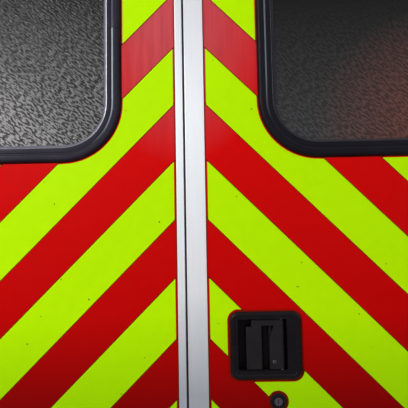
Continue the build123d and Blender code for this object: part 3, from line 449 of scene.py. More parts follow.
def extrusion(name, color, roughness, metallic):
    """Anodised aluminium, with draw lines and faint tinted streaks: the finish and its colour mix."""
    metal = Finish(name, color, roughness, metallic)
    lines = metal.noise(900.0, 2.0, (1, 1, 200))
    warm = metal.ramp(metal.noise(240.0, 1.0, (1, 1, 60)), 0.48, 0.62)
    cool = metal.ramp(metal.noise(170.0, 1.0, (1, 1, 90)), 0.5, 0.64)
    streaks = metal.mix(warm, color, tint(color, 1.04, 0.95, 0.98))
    streaks = metal.mix(cool, streaks, tint(color, 0.9, 1.01, 0.99))
    clouds = metal.ramp(metal.noise(9.0, 4.0, (1, 1, 3)), 0.4, 0.7, 0.0, 0.6)
    metal.rough(lines, roughness - 0.07, roughness + 0.07)
    metal.bump((lines, 0.000012))
    return metal, metal.mix(clouds, streaks, shade(color, 0.9))


def extrusion_finish():
    """The plain extrusions."""
    metal, mixed = extrusion("anodised_aluminium", tuple(settings().metal), 0.36, 0.8)
    return metal.color(mixed).material


def strip_finish():
    """The pale meeting stiles, with painted highlights along their lips' edges and painted shade at head and
    foot.
    """
    color = tuple(settings().strip)
    metal, mixed = extrusion("meeting_strip", color, 0.42, 0.35)
    x = metal.axis("X")
    outer = metal.ramp(metal.distance(x, 0.0), LIP_OUTER - 1.6 * MM, LIP_OUTER - 0.6 * MM)
    inner = metal.ramp(metal.distance(x, SEAM_X), 2.6 * MM, 3.4 * MM, 1.0, 0.0)
    # Painted highlights along both edges of the lips.
    edge_highlights = metal.mix(metal.math("MAXIMUM", outer, inner), mixed, shade(color, 1.18))
    # Painted shade towards the head.
    head_shaded = metal.mix(metal.ramp(metal.axis("Z"), *STRIP_HEAD_SHADE_Z, 0, 0.6), edge_highlights, shade(color, 0.7))
    outside = metal.ramp(metal.axis("Y"), 4 * MM, 12 * MM, 1, 0)
    # Painted shade towards the foot, on the outer face only.
    shade_at_foot = metal.math("MULTIPLY", outside, metal.ramp(metal.axis("Z"), *STRIP_FOOT_SHADE_Z, 0.64, 0))
    return metal.color(metal.mix(shade_at_foot, head_shaded, STRIP_SHADE_COLOR)).material


def rubber_finish(name, color, joint):
    """Smooth extruded rubber with a faint bloom and a dark line where its ends meet."""
    rubber = Finish(name, color, 0.4, Specular_IOR_Level=0.11)
    bloom = rubber.ramp(rubber.noise(14.0, 4.0), 0.35, 0.7)
    line = rubber.ramp(rubber.distance(rubber.axis("Z"), joint), 0.8 * MM, 1.5 * MM, 0.95, 0)
    rubber.color(rubber.mix(line, rubber.mix(bloom, color, shade(color, 1.7)), shade(color, 0.1)))
    rubber.rough(rubber.noise(30.0, 3.0), 0.34, 0.5)
    return rubber.bump((rubber.noise(700.0, 2.0), 0.00001)).material


def filler_highlight_finish(name, color, fade, joint):
    """Groove strip, pale with a painted highlight: dark up to its fade height, pale above it, dark above its
    joint.
    """
    dark = tuple(settings().rubber)
    strip = Finish(name, color, 0.35, Specular_IOR_Level=0.13)
    # Painted highlight: the filler is dark below its fade height and pale above it.
    clear = strip.ramp(strip.axis("Z"), fade - 90 * MM, fade)
    mottled = strip.mix(strip.noise(220.0, 3.0), shade(color, 0.8), shade(color, 1.1))
    light_and_shade = strip.mix(clear, dark, mottled)
    strip.color(strip.mix(strip.ramp(strip.axis("Z"), joint, joint + 1 * MM), light_and_shade, shade(color, 0.22)))
    strip.rough(strip.noise(60.0, 3.0), 0.3, 0.45)
    return strip.bump((strip.noise(500.0, 2.0), 0.00001)).material


def lip_highlight_finish(name, color):
    """Pale bead on the inner lip, a painted highlight dimmer along the window's foot, with patches of dirt.
    """
    bead = Finish(name, color, 0.3, 0.75)
    dirt_and_shadow = bead.ramp(bead.noise(90.0, 4.0), 0.45, 0.75, 0.0, 0.5)
    # The painted highlight dims along the window's foot.
    clear = bead.ramp(bead.axis("Z"), RUBBER_BOX[0].z + 30 * MM, RUBBER_BOX[0].z + 90 * MM)
    bead.color(bead.mix(clear, shade(color, 0.25), bead.mix(dirt_and_shadow, color, shade(color, 0.4))))
    bead.rough(bead.noise(60.0, 3.0), 0.25, 0.45)
    return bead.bump((bead.noise(800.0, 2.0), 0.00001)).material


def slope_reflection_finish(name, color):
    """Lavender-grey painted reflection on the rubber's inner slope, mottled."""
    slope = Finish(name, color, 0.4, Specular_IOR_Level=0.2)
    slope.color(slope.mix(slope.noise(40.0, 4.0), shade(color, 0.7), shade(color, 1.25)))
    slope.rough(slope.noise(60.0, 3.0), 0.34, 0.5)
    return slope.bump((slope.noise(800.0, 2.0), 0.00001)).material


def seal_finish():
    """Purplish grey sponge rubber."""
    seal = Finish("seal_rubber", (0.11, 0.09, 0.14), 0.6, Specular_IOR_Level=0.2)
    seal.color(seal.mix(seal.noise(50.0, 3.0), (0.09, 0.075, 0.115), (0.13, 0.105, 0.165)))
    seal.rough(seal.noise(30.0, 3.0), 0.5, 0.7)
    return seal.bump((seal.noise(400.0, 3.0), 0.00004)).material


def rubber_shadow_finish():
    """Thin dark red fillet at the film's edge, a painted shadow along the glazing rubber."""
    color = (0.042, 0.001, 0.001)
    rubber_shadow = Finish("rubber_shadow", color, 0.6, Specular_IOR_Level=0.1)
    rubber_shadow.color(rubber_shadow.mix(rubber_shadow.noise(60.0, 3.0), shade(color, 0.6), shade(color, 1.4)))
    rubber_shadow.rough(rubber_shadow.noise(30.0, 3.0), 0.5, 0.7)
    return rubber_shadow.bump((rubber_shadow.noise(500.0, 2.0), 0.00002)).material


def fittings_finish(name, lift, recess_shade=0.0):
    """Satin black paint with fine grain, its colour lifted by a factor.

    Painted shade darkens it behind the paddle's face, in the handle's recess, as far as its share says.
    """
    color = shade(tuple(settings().fittings), lift)
    paint = Finish(name, color, 0.25, Specular_IOR_Level=0.11)
    face = PADDLE_BOX[0].y
    # Painted shade in the recess behind the paddle's face.
    below = paint.ramp(paint.axis("Y"), face + 2 * MM, face + 10 * MM, 0, recess_shade)
    mottled = paint.mix(paint.noise(40.0, 3.0), shade(color, 0.8), shade(color, 1.6))
    paint.color(paint.mix(below, mottled, shade(color, 0.1)))
    paint.rough(paint.noise(25.0, 3.0), 0.2, 0.32)
    return paint.bump((paint.noise(120.0, 2.0), 0.00004), (paint.noise(1200.0, 2.0), 0.00001)).material


def steel_finish():
    """Brushed stainless steel."""
    steel = Finish("brushed_steel", (0.56, 0.56, 0.55), 0.3, 1.0)
    lines = steel.noise(1200.0, 2.0, (40, 1, 1))
    steel.color(steel.mix(steel.noise(20.0, 3.0), (0.5, 0.5, 0.49), (0.62, 0.62, 0.61)))
    steel.rough(lines, 0.24, 0.4)
    return steel.bump((lines, 0.000012)).material


def paint_finish(name, color, roughness=0.3):
    """Gloss paint or powder coat with a faint orange peel."""
    paint = Finish(name, color, roughness)
    paint.color(paint.mix(paint.noise(6.0, 3.0), shade(color, 0.95), shade(color, 1.03)))
    paint.rough(paint.noise(20.0, 3.0), roughness * 0.85, roughness * 1.2)
    return paint.bump((paint.noise(300.0, 2.0), 0.00003)).material


def pane_finish(name, foot, rise, glow, middle, reach, contrast):
    """Patterned privacy glass: a dark body under slanting pebbles that break up what it reflects.

    Painted light makes the pane paler towards its foot, over a rise, and gives it a painted glow round a
    middle that fades out at a reach. Painted shade keeps the hollow parts of the pattern dark, as far as its
    contrast says.
    """
    pebble, body = settings().pebble, tuple(settings().pane)
    pane = Finish(name, body, 0.12, Specular_IOR_Level=0.12)
    slant = pane.noise(1.0, 1.5, (pebble, pebble, 0.35 * pebble), math.radians(37), 0.1)
    fine = pane.noise(3.0 / pebble, 2.0)
    low, high = PANE_BOX[0].z, PANE_BOX[0].z + rise
    # Painted light: paler towards the foot, and a glow round a middle.
    upright = pane.mix(pane.ramp(pane.axis("Z"), low, high), foot, body)
    lit = pane.mix(pane.near(middle, reach), upright, glow)
    # Painted shade in the pattern's hollow parts.
    trough_shade = pane.ramp(slant, 0.47, 0.535, contrast, 0)
    hollow_shade = pane.math("MULTIPLY", trough_shade, pane.ramp(fine, 0.3, 0.6, 1.0, 0.85))
    pane.color(pane.mix(hollow_shade, lit, body))
    pane.bump((slant, settings().pebble_depth), (fine, settings().pebble_depth * 0.02))
    return pane.material


def dress(material, *names):
    """Gives CAD nodes a material."""
    for name in names:
        mesh = NODES[name].data
        mesh.materials.clear()
        mesh.materials.append(material)


def both(*names):
    """The left and right nodes of each name."""
    return [f"{side}_{name}" for side, _ in SIDES for name in names]


def grid_faces(rows, columns, round_rows=False, round_columns=False):
    """Quads between the neighbours of a grid; a closed direction joins its last line to its first."""
    row = np.arange(rows if round_rows else rows - 1)[:, None]
    column = np.arange(columns if round_columns else columns - 1)[None, :]
    below, beside = (row + 1) % rows, (column + 1) % columns
    near, far = row * columns, below * columns
    corners = (near + column, near + beside, far + beside, far + column)
    return np.stack(np.broadcast_arrays(*corners), axis=-1).reshape(-1, 4)


def add_mesh(name, points, faces, material, body, slot, crease=40.0):
    """Makes a closed piece from points and quads, riding on a body.

    Its volume is the sum, over the two triangles of each quad, of a . (b cross c) / 6. Where that is negative
    the quads are turned over, so that they face outwards.
    """
    points = points.reshape(-1, 3)
    a, b, c, d = (points[faces[:, i]] for i in range(4))
    volume = (a * np.cross(b, c)).sum() + (a * np.cross(c, d)).sum()
    if volume < 0:
        faces = faces[:, ::-1]
    mesh = bpy.data.meshes.new(name)
    mesh.from_pydata(points, [], faces)
    shell = bmesh.new()
    shell.from_mesh(mesh)
    bmesh.ops.remove_doubles(shell, verts=shell.verts, dist=1e-7)
    shell.to_mesh(mesh)
    shell.free()
    mesh.materials.append(material)
    mesh.shade_smooth()
    mesh.set_sharp_from_angle(angle=math.radians(crease))
    piece = bpy.data.objects.new(name, mesh)
    bpy.context.scene.collection.objects.link(piece)
    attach(piece, body)
    return piece


def outline_sweep(box, radius, side, inset, depth, steps=20):
    """Carries a closed section, given by inset from the outline and by Y, round a box's outline.

    Round each corner the point at angle t is the corner's centre plus (radius - inset) times (cos t, sin t)
    in X and Z. The straight sides join the four quarter turns.
    """
    quarter = np.repeat(np.arange(4), steps)
    angle = (np.tile(np.linspace(0, 1, steps), 4) + quarter) * math.pi / 2
    low, high = box
    centre_x = np.where(np.isin(quarter, (0, 3)), high.x - radius, low.x + radius)
    centre_z = np.where(quarter < 2, high.z - radius, low.z + radius)
    reach = radius - inset[None, :]
    x = side * (centre_x[:, None] + reach * np.cos(angle)[:, None])
    z = centre_z[:, None] + reach * np.sin(angle)[:, None]
    y = np.broadcast_to(depth, x.shape)
    return np.stack((x, y, z), axis=-1), grid_faces(len(angle), len(inset), True, True)


def window_piece(side, sign, name, section, material, slot):
    """A piece whose section runs right round one window."""
    sweep = outline_sweep(RUBBER_BOX, CORNER_RADIUS, sign, *section)
    return add_mesh(f"{side}_{name}", *sweep, material, f"{side}_door", slot)


def lip(start, end, left_base, right_base, crest, power=3.2, count=17):
    """A lip's round front: Y = base + (crest - base) times (1 - |u|^p)^(1/p), with u from -1 to 1."""
    u = np.sin(np.linspace(-1, 1, count) * math.pi / 2)
    base = np.where(u < 0, left_base, right_base)
    across = start + (u + 1) / 2 * (end - start)
    return across, base + (crest - base) * (1 - np.abs(u) ** power) ** (1 / power)


def oval(inset, depth, half_width, half_depth, count=14):
    """A bead's oval section round a middle: inset + a cos t and Y + b sin t."""
    t = np.arange(count) * 2 * math.pi / count
    return inset + half_width * np.cos(t), depth + half_depth * np.sin(t)


def rubber_section():
    """The H-section, from its outer front lip round to its back: inset and Y of each point."""
    film, glass = FILM_BOX[0].y, PANE_BOX[0].y
    glass_back, panel_back = PANE_BOX[1].y, PANEL_BOX[0].y + GLAZING_FLANGE
    front, back = RUBBER_BOX[0].y, RUBBER_BOX[1].y
    start, end = GROOVE
    groove = front + GROOVE_DEPTH
    web = PANE_BOX[0].x - RUBBER_BOX[0].x
    outer = lip(0, start, film, groove, front)
    inner = lip(end, LIP_CREST + 1 * MM, groove, front + 2 * MM, front)
    rear = lip(0, RUBBER_WIDTH, panel_back, glass_back, back)
    edge = ((RUBBER_WIDTH, web, web), (glass, glass, glass_back))
    slot = ((PANEL_BITE, PANEL_BITE), (panel_back, film))
    inset = np.concatenate((outer[0], inner[0], edge[0], rear[0][::-1], slot[0]))
    depth = np.concatenate((outer[1], inner[1], edge[1], rear[1][::-1], slot[1]))
    return inset, depth


def filler_section():
    """The strip that fills the groove, its round face level with the rubber."""
    start, end = GROOVE
    shoulder = RUBBER_BOX[0].y + GROOVE_DEPTH
    inset, depth = lip(start, end, shoulder, shoulder, RUBBER_BOX[0].y)
    floor = FILLER_BOX[1].y
    return np.append(inset, (end, start)), np.append(depth, (floor, floor))


def slope_section():
    """The thin skin on the inner lip's slope, hollowed a little, from the crest down to the glass."""
    u = np.linspace(0, 1, 7)
    front, glass = RUBBER_BOX[0].y, PANE_BOX[0].y
    sunk, hollow = 0.3 * MM, 0.35
    inset = LIP_CREST + u * (SLOPE_END - LIP_CREST)
    depth = front + sunk + (glass - front - sunk) * (u + hollow * u * (1 - u))
    return np.append(inset, (RUBBER_WIDTH - 1 * MM, LIP_CREST)), np.append(depth, (glass, front + 1.6 * MM))


def rubber_shadow_section():
    """A fine dark fillet in the angle between the rubber and the film, a painted shadow."""
    film, width = FILM_BOX[0].y, settings().rubber_shadow
    t = np.linspace(0, math.pi / 2, 6)
    inset = -width * (1 - np.sin(t))
    depth = film - 1.3 * width * (1 - np.cos(t))
    return np.append(inset, 0.4 * MM), np.append(depth, film)


def rim_section():
    """The rounded rim that stands on the bezel: from near its outer edge in to its flat face."""
    face = BEZEL_BOX[0].y
    shoulder, crest = face + 2.4 * MM, face - 1.3 * MM
    inset, depth = lip(0.4 * MM, 9.5 * MM, shoulder, face + 0.1 * MM, crest, 2.0)
    return np.append(inset, (8 * MM, 2.5 * MM)), np.append(depth, (face + 1 * MM, shoulder))


def closed_ends(rings):
    """Rings of points with each end drawn together to its middle, and the quads between them."""
    ends = [np.repeat(ring.mean(axis=0, keepdims=True), len(ring), axis=0) for ring in (rings[0], rings[-1])]
    points = np.stack((ends[0], *rings, ends[1]))
    return points, grid_faces(len(points), rings.shape[1], round_columns=True)


def seal_run(side):
    """A bulb seal from the leaf's foot to its head, reaching out to just short of the seam's middle."""
    low, high = SEAL_BOXES[side]
    root, touch = (low.x, SEAM_X - SEAL_GAP) if side == "left" else (high.x, SEAM_X + SEAL_GAP)
    y, x = lip(low.y, high.y, root, root, touch)
    z = np.array((low.z, high.z))[:, None]
    return closed_ends(np.stack(np.broadcast_arrays(x, y, z), axis=-1))


def upright_bead(x, y, low, high, radius, columns=16):
    """A round-ended bead along Z: rings of radius R sin s at the ends, drawn out by R (1 - cos s)."""
    s = np.linspace(0.15, math.pi / 2, 5)
    across, rise = radius * np.sin(s), radius * (1 - np.cos(s))
    size = np.concatenate((across, across[::-1]))[:, None]
    z = np.concatenate((low + rise, high - rise[::-1]))[:, None]
    t = np.arange(columns) * 2 * math.pi / columns
    return closed_ends(np.stack(np.broadcast_arrays(x + size * np.cos(t), y + size * np.sin(t), z), axis=-1))


def screw_heads(centres, normal, radius, columns=24):
    """Button heads with a hexagon socket, as one mesh.

    The socket's wall at angle t lies at a / cos((t mod 60 degrees) - 30 degrees). Outside it the dome is
    R sin s out and H cos s up, for s up to a right angle, and the rim runs down into what the screw holds.
    """
    socket_share, height_share, dome_share, floor_share, sunk = 0.42, 0.42, 0.62, 0.25, -0.2 * MM
    t = np.arange(columns) * 2 * math.pi / columns
    socket = socket_share * radius / np.cos(t % (math.pi / 3) - math.pi / 6)
    height = height_share * radius
    dome = np.linspace(math.asin(dome_share), math.pi / 2, 5)
    zero = np.zeros(columns)
    rings = [radius * np.sin(s) + zero for s in dome]
    out = np.stack([zero, socket, socket * 1.03, *rings, radius + zero, zero])
    edge = height * math.cos(dome[0])
    up = np.array([floor_share * edge, floor_share * edge, edge, *(height * np.cos(dome)), sunk, sunk])
    normal = np.array(normal, float)
    across = np.array((1.0, 0, 0))
    along = np.cross(normal, across)
    head = (out * np.cos(t))[..., None] * across + (out * np.sin(t))[..., None] * along
    head = head + (up[:, None, None] * normal)
    points = np.asarray(centres, float)[:, None, None, :] + head
    quads = grid_faces(len(up), columns, round_columns=True)
    starts = np.arange(len(points)) * len(up) * columns
    return points.reshape(-1, 3), (quads + starts[:, None, None]).reshape(-1, 4)


def joined(*parts):
    """Several sets of points and quads as one."""
    starts = np.cumsum([0] + [len(points) for points, _ in parts[:-1]])
    points = np.concatenate([points for points, _ in parts])
    return points, np.concatenate([quads + start for (_, quads), start in zip(parts, starts)])


def places(x, y, z):
    """Every combination of the given X and Z at a depth, as rows of X, Y, Z."""
    x, z = np.meshgrid(x, z)
    return np.stack((x, np.full(x.shape, y), z), axis=-1).reshape(-1, 3)


def trim_places(sign):
    """Screws round the window trim's flange, which stands round the rubber's outline."""
    low, high = TRIM_BOX
    x = (low.x + high.x) / 2 + TRIM_SCREWS_X
    z = (low.z + high.z) / 2 + TRIM_SCREWS_Z
    level = places(sign * x, high.y, (low.z + TRIM_EDGE, high.z - TRIM_EDGE))
    upright = places(sign * np.array((low.x + TRIM_EDGE, high.x - TRIM_EDGE)), high.y, z)
    return np.concatenate((level, upright))


def liner_places(sign):
    """Screws along the liner's head, foot and hinge edge."""
    low, high = LINER_BOX
    x = np.linspace(low.x + LINER_EDGE, high.x - LINER_EDGE, LINER_COLUMNS)
    z = np.linspace(low.z + LINER_EDGE, high.z - LINER_EDGE, LINER_ROWS)
    level = places(sign * x, high.y, (z[0], z[-1]))
    upright = places(sign * x[-1:], high.y, z[1:-1])
    return np.concatenate((level, upright))


def tread_ribs(rows, spans):
    """Ribs along the tread: across a rib the height is h (1 - u^2), and it falls to nothing at both ends."""
    width = settings().rib_width
    u = np.linspace(-1, 1, 7)
    height = 0.28 * width * (1 - u**2)
    foot, top = TREAD_BOX[1].z - 0.3 * MM, TREAD_BOX[1].z
    parts = []
    for y in rows:
        for x0, x1 in spans:
            x = np.array((x0, x0 + width, x1 - width, x1))[:, None]
            taper = np.array((0.0, 1.0, 1.0, 0.0))[:, None]
            over = np.stack(np.broadcast_arrays(x, y + u * width / 2, top + height * taper), axis=-1)
            under = over.copy()
            under[..., 2] = foot
            points, quads = closed_ends(np.concatenate((over, under[:, ::-1]), axis=1))
            parts.append((points.reshape(-1, 3), quads))
    return joined(*parts)


class DOORS_OT_films(bpy.types.Operator):
    """Lay the red film and the fluorescent stripes."""

    bl_idname = "doors.films"
    bl_label = "Films"

    def execute(self, context):
        dress(red_finish(), *both("red_film"))
        dress(yellow_finish(), *both("yellow_film"))
        return {"FINISHED"}


class DOORS_OT_metal(bpy.types.Operator):
    """Finish the extrusions, hinges, panels, trim and grab handles."""

    bl_idname = "doors.metal"
    bl_label = "Metal and paint"

    def execute(self, context):
        dress(extrusion_finish(), "posts", "header", "sill", "drip_gutter", *both("hinge_stile", "rails"))
        dress(strip_finish(), *both("meeting_stile"))
        dress(steel_finish(), "frame_hinges", "hinge_pins", "tread_plate", "bolt_keeps", "handle_pin",
              *both("hinge_plates", "bolts"))
        dress(paint_finish("white_panel", (0.78, 0.79, 0.8)), *both("panel", "liner"))
        dress(paint_finish("yellow_rail", (0.82, 0.5, 0.02)), *both("grab_handle"))
        dress(paint_finish("grey_trim", (0.28, 0.29, 0.3), 0.5), *both("window_trim"))
        return {"FINISHED"}


class DOORS_OT_glazing(bpy.types.Operator):
    """Carry the glazing rubber, its filler strip, its inner lip and a painted-shadow fillet round both
    windows.
    """

    bl_idname = "doors.glazing"
    bl_label = "Glazing rubber"

    def execute(self, context):
        s = settings()
        rubber_shadow = rubber_shadow_finish()
        crest = oval(LIP_CREST, RUBBER_BOX[0].y + 0.35 * MM, s.bead_width / 2, 0.6 * MM)
        for side, sign in SIDES:
            look = WINDOW_LOOKS[side]
            joint, fade = look["joint"], RUBBER_BOX[0].z + look["fade"]
            black = rubber_finish(f"{side}_glazing_rubber", shade(s.rubber, look["rubber"]), joint)
            filler = filler_highlight_finish(f"{side}_filler_strip", shade(s.filler, look["filler"]), fade, joint)
            # The lip's bead and slope are painted highlight and reflection, dimmer round the right window.
            bead = lip_highlight_finish(f"{side}_lip_highlight_bead", shade(s.bead, look["lip"] ** 2))
            slope = slope_reflection_finish(f"{side}_lip_slope_reflection", shade(s.slope, look["lip"]))
            dress(black, f"{side}_window_rubber", f"{side}_rubber_filler")
            ring = window_piece(side, sign, "glazing_rubber", rubber_section(), black, "rubber")
            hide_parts(f"{side}_window_rubber")
            strip = window_piece(side, sign, "filler_strip", filler_section(), filler, "rubber_filler")
            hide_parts(f"{side}_rubber_filler")
            window_piece(side, sign, "lip_slope_reflection", slope_section(), slope, "rubber")
            window_piece(side, sign, "lip_highlight_bead", crest, bead, "rubber_filler")
            # Dark fillet of painted shadow along the rubber's outer edge.
            window_piece(side, sign, "rubber_shadow_fillet", rubber_shadow_section(), rubber_shadow, "rubber")
        return {"FINISHED"}


class DOORS_OT_seals(bpy.types.Operator):
    """Run the bulb seals down the meeting edges, tip to tip."""

    bl_idname = "doors.seals"
    bl_label = "Meeting seals"

    def execute(self, context):
        sponge = seal_finish()
        dress(sponge, "frame_seal", *both("meeting_seal"))
        for side, _ in SIDES:
            seal = add_mesh(f"{side}_bulb_seal", *seal_run(side), sponge, f"{side}_door", "rubber", 60)
            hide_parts(f"{side}_meeting_seal")
        return {"FINISHED"}


class DOORS_OT_screws(bpy.types.Operator):
    """Put screw heads on the hinges, the grab rails, the guides, the trim, the liner and the tread."""

    bl_idname = "doors.screws"
    bl_label = "Screws"

    def execute(self, context):
        radius = settings().screw_radius
        middle, small = MIDDLE_HEAD * radius, SMALL_HEAD * radius
        steel = NODES["bolt_keeps"].data.materials[0]
        rows = np.concatenate([HINGE_MIDDLES + rise for rise in HINGE_SCREWS_Z])
        feet_x = (GRAB_MIDDLES[:, None] + GRAB_SCREWS_X).ravel()
        feet_z = (GRAB_BOX[0].z + GRAB_BOX[1].z) / 2 + GRAB_SCREWS_Z
        guides = np.array((GUIDE_BOX[0].z + GUIDE_END, GUIDE_BOX[1].z - GUIDE_END))
        guide_z = (guides[:, None] + GUIDE_SCREWS_Z).ravel()
        out, back, up, down = (0, -1, 0), (0, 1, 0), (0, 0, 1), (0, 0, -1)
        for side, sign in SIDES:
            plate = places(sign * (PLATE_BOX[0].x + HINGE_SCREWS_X), PLATE_FACE_Y, rows)
            feet = places(sign * feet_x, GRAB_FOOT_Y, feet_z)
            guide = places([sign * BOLT_X], GUIDE_FACE_Y, guide_z)
            case = places(sign * (BOLT_X + CASE_SCREWS_X), GUIDE_BOX[1].y, HANDLE_Z + CASE_SCREWS_Z)
            sets = (
                screw_heads(plate, out, radius),
                screw_heads(feet, back, small),
                screw_heads(trim_places(sign), back, small),
                screw_heads(liner_places(sign), back, small),
                screw_heads(guide, back, middle),
                screw_heads(case, back, middle),
            )
            add_mesh(f"{side}_door_screws", *joined(*sets), steel, f"{side}_door", "steel", 50)
        hinge_x = HINGE_BOX[1].x - HINGE_SCREWS_X
        keep_x = np.concatenate([sign * BOLT_X + KEEP_SCREWS_X for _, sign in SIDES])
        keep_y = (KEEP_BOX[0].y + KEEP_BOX[1].y) / 2
        sets = (
            screw_heads(places(np.concatenate((hinge_x, -hinge_x)), PLATE_FACE_Y, rows), out, radius),
            screw_heads(places(TREAD_SCREWS_X, TREAD_SCREWS_Y, [TREAD_BOX[1].z]), up, radius),
            screw_heads(places(keep_x, keep_y, [TREAD_BOX[1].z + KEEP_PLATE]), up, small),
            screw_heads(places(keep_x, keep_y, [KEEP_BOX[1].z - KEEP_PLATE]), down, small),
        )
        add_mesh("frame_screws", *joined(*sets), steel, "frame", "steel", 50)
        return {"FINISHED"}


class DOORS_OT_tread(bpy.types.Operator):
    """Raise the ribs of the tread plate."""

    bl_idname = "doors.tread"
    bl_label = "Tread ribs"

    def execute(self, context):
        steel = NODES["tread_plate"].data.materials[0]
        add_mesh("tread_ribs", *tread_ribs(TREAD_RIBS_Y, TREAD_RIBS_X), steel, "frame", "steel")
        return {"FINISHED"}


class DOORS_OT_glass(bpy.types.Operator):
    """Finish the patterned panes."""

    bl_idname = "doors.glass"
    bl_label = "Glass"

    def execute(self, context):
        # Each pane's foot, rise and glow are painted light in its colour; its contrast sets the painted shade
        # in the pattern.
        pale = pane_finish(
            "left_patterned_glass", foot=(0.25, 0.25, 0.25), rise=300 * MM, glow=(0.37, 0.352, 0.357),
            middle=(-0.4, 0, 1.0), reach=(0.2, 1, 0.22), contrast=1.0,
        )
        warm = pane_finish(
            "right_patterned_glass", foot=(0.064, 0.064, 0.067), rise=280 * MM, glow=(0.14, 0.053, 0.042),
            middle=(0.48, 0, 1.06), reach=(0.26, 1, 0.24), contrast=0.6,
        )
        dress(pale, "left_window_glass")
        dress(warm, "right_window_glass")
        return {"FINISHED"}


class DOORS_OT_fittings(bpy.types.Operator):
    """Finish the handle, the lock and the inner levers, and add the handle's rim, edge and rivet."""

    bl_idname = "doors.fittings"
    bl_label = "Fittings"

    def execute(self, context):
        black = fittings_finish("black_fittings", lift=1.0)
        # The paddle's black is lifted lighter, and painted shade darkens it in the recess behind its face.
        paddle_paint = fittings_finish("lifted_paddle", lift=2.3, recess_shade=0.95)
        dress(black, "handle_bezel", "lock_ring", *both("bolt_guides", "bolt_lever"))
        dress(paddle_paint, "handle_paddle")
        dress(paint_finish("lock_barrel", (0.05, 0.046, 0.062), 0.3), "lock_barrel")
        rim = outline_sweep(BEZEL_BOX, BEZEL_RADIUS, 1, *rim_section())
        add_mesh("bezel_rim", *rim, black, "right_door", "black_fittings")
        front, foot = PADDLE_BOX[0].y, PADDLE_BOX[0].z
        grip = upright_bead(GRIP_X, front + 1.5 * MM, foot + 1 * MM, GRIP_TOP, GRIP_RADIUS)
        add_mesh("grip_edge", *grip, paddle_paint, "right_door", "black_fittings")
        rivet = screw_heads([RIVET_PLACE], (0, -1, 0), RIVET_RADIUS)
        grey = paint_finish("rivet", (0.03, 0.03, 0.032))
        add_mesh("paddle_rivet", *rivet, grey, "right_door", "black_fittings", 50)
        return {"FINISHED"}


def camera_turn():
    """The camera's rotation: yaw about Z, pitch about X and roll about the view axis."""
    yaw, pitch, roll = (math.radians(a) for a in (CAMERA_YAW, CAMERA_PITCH, CAMERA_ROLL))
    turn = Matrix.Rotation(yaw, 3, "Z") @ Matrix.Rotation(pitch, 3, "X") @ Matrix.Rotation(roll, 3, "Y")
    return turn @ Matrix.Rotation(math.pi / 2, 3, "X")


def soft_light(name, place, target, size, power):
    """A rectangular area light at a place, turned to a target."""
    data = bpy.data.lights.new(name, "AREA")
    data.shape = "RECTANGLE"
    data.size, data.size_y = size
    data.energy = power
    light = bpy.data.objects.new(name, data)
    light.location = place
    light.rotation_euler = (Vector(target) - Vector(place)).to_track_quat("-Z", "Y").to_euler()
    bpy.context.scene.collection.objects.link(light)


def floor_finish():
    """Pale floor that keeps the shadows and, for the camera alone, fades into the backdrop far off."""
    look = Finish("pale_floor", (0.74, 0.74, 0.74), 0.8, Specular_IOR_Level=0.1)
    look.color(look.mix(look.noise(3.0, 4.0), (0.73, 0.73, 0.73), (0.76, 0.76, 0.76)))
    lift = look.add("ShaderNodeEmission")
    lift.inputs["Color"].default_value = (*BACKDROP, 1)
    path = look.add("ShaderNodeLightPath")
    far = look.ramp(look.near((0, 0, 0), (FLOOR_FADE, FLOOR_FADE, FLOOR_FADE)), 0, 1, 1, 0.35)
    mix = look.add("ShaderNodeMixShader")
    look.link(look.math("MULTIPLY", path.outputs["Is Camera Ray"], far), mix.inputs["Fac"])
    look.link(look.shader.outputs["BSDF"], mix.inputs[1])
    look.link(lift.outputs["Emission"], mix.inputs[2])
    look.link(mix.outputs["Shader"], look.tree.nodes["Material Output"].inputs["Surface"])
    return look.material


def studio_world():
    """A dim even world for plain light, which camera, gloss and glass see as a pale backdrop."""
    world = bpy.data.worlds.new("studio")
    world.use_nodes = True
    nodes, links = world.node_tree.nodes, world.node_tree.links
    background = nodes["Background"]
    background.inputs["Color"].default_value = (*AMBIENT, 1)
    background.inputs["Strength"].default_value = AMBIENT_STRENGTH
    pale = nodes.new("ShaderNodeBackground")
    pale.inputs["Color"].default_value = (*BACKDROP, 1)
    path = nodes.new("ShaderNodeLightPath")
    seen = path.outputs["Is Camera Ray"]
    for ray in ("Is Glossy Ray", "Is Transmission Ray"):
        either = nodes.new("ShaderNodeMath")
        either.operation = "MAXIMUM"
        links.new(seen, either.inputs[0])
        links.new(path.outputs[ray], either.inputs[1])
        seen = either.outputs["Value"]
    mix = nodes.new("ShaderNodeMixShader")
    links.new(seen, mix.inputs["Fac"])
    links.new(background.outputs["Background"], mix.inputs[1])
    links.new(pale.outputs["Background"], mix.inputs[2])
    links.new(mix.outputs["Shader"], nodes["World Output"].inputs["Surface"])
    return world


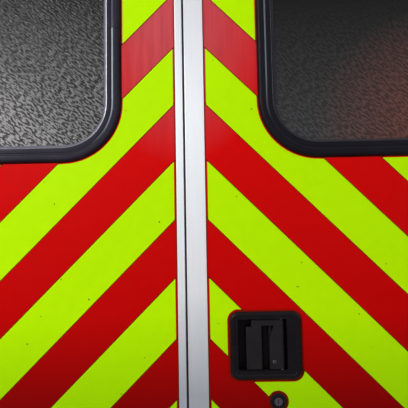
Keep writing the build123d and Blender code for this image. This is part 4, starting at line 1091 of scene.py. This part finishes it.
class DOORS_OT_stage(bpy.types.Operator):
    """Make the floor, the lights, the world and the camera."""

    bl_idname = "doors.stage"
    bl_label = "Stage"

    def execute(self, context):
        scene = context.scene
        s = FLOOR_HALF
        mesh = bpy.data.meshes.new("floor")
        mesh.from_pydata([(-s, -s, 0), (s, -s, 0), (s, s, 0), (-s, s, 0)], [], [(0, 1, 2, 3)])
        mesh.materials.append(floor_finish())
        floor = bpy.data.objects.new("floor", mesh)
        scene.collection.objects.link(floor)
        scene.world = studio_world()
        soft_light("key", *KEY_LIGHT, settings().key_light)
        for name, values in OTHER_LIGHTS.items():
            soft_light(name, *values)
        data = bpy.data.cameras.new("camera")
        data.sensor_width = 36.0
        data.lens = LENS
        data.clip_start = 0.01
        camera = bpy.data.objects.new("camera", data)
        camera.matrix_world = Matrix.Translation(CAMERA_PLACE) @ camera_turn().to_4x4()
        scene.collection.objects.link(camera)
        scene.camera = camera
        scene.view_settings.view_transform = "Standard"
        return {"FINISHED"}


STEPS = (
    DOORS_OT_films,
    DOORS_OT_metal,
    DOORS_OT_glazing,
    DOORS_OT_seals,
    DOORS_OT_glass,
    DOORS_OT_fittings,
    DOORS_OT_screws,
    DOORS_OT_tread,
    DOORS_OT_stage,
)


class DOORS_PT_panel(bpy.types.Panel):
    """Sidebar panel with the settings and one button for each step."""

    bl_label = "Rear doors"
    bl_idname = "DOORS_PT_panel"
    bl_space_type = "VIEW_3D"
    bl_region_type = "UI"
    bl_category = "Rear doors"

    def draw(self, context):
        for name in RearDoorSettings.__annotations__:
            self.layout.prop(settings(), name)
        for step in STEPS:
            self.layout.operator(step.bl_idname)


CLASSES = (RearDoorSettings, *STEPS, DOORS_PT_panel)


def register():
    """Registers the classes and puts the settings on the scene."""
    for item in CLASSES:
        bpy.utils.register_class(item)
    bpy.types.Scene.rear_doors = PointerProperty(type=RearDoorSettings)


def unregister():
    """Takes the settings and the classes away."""
    del bpy.types.Scene.rear_doors
    for item in reversed(CLASSES):
        bpy.utils.unregister_class(item)


def main():
    """Makes the whole scene."""
    register()
    for step in STEPS:
        group, name = step.bl_idname.split(".")
        getattr(getattr(bpy.ops, group), name)()


if __name__ == "__main__":
    main()
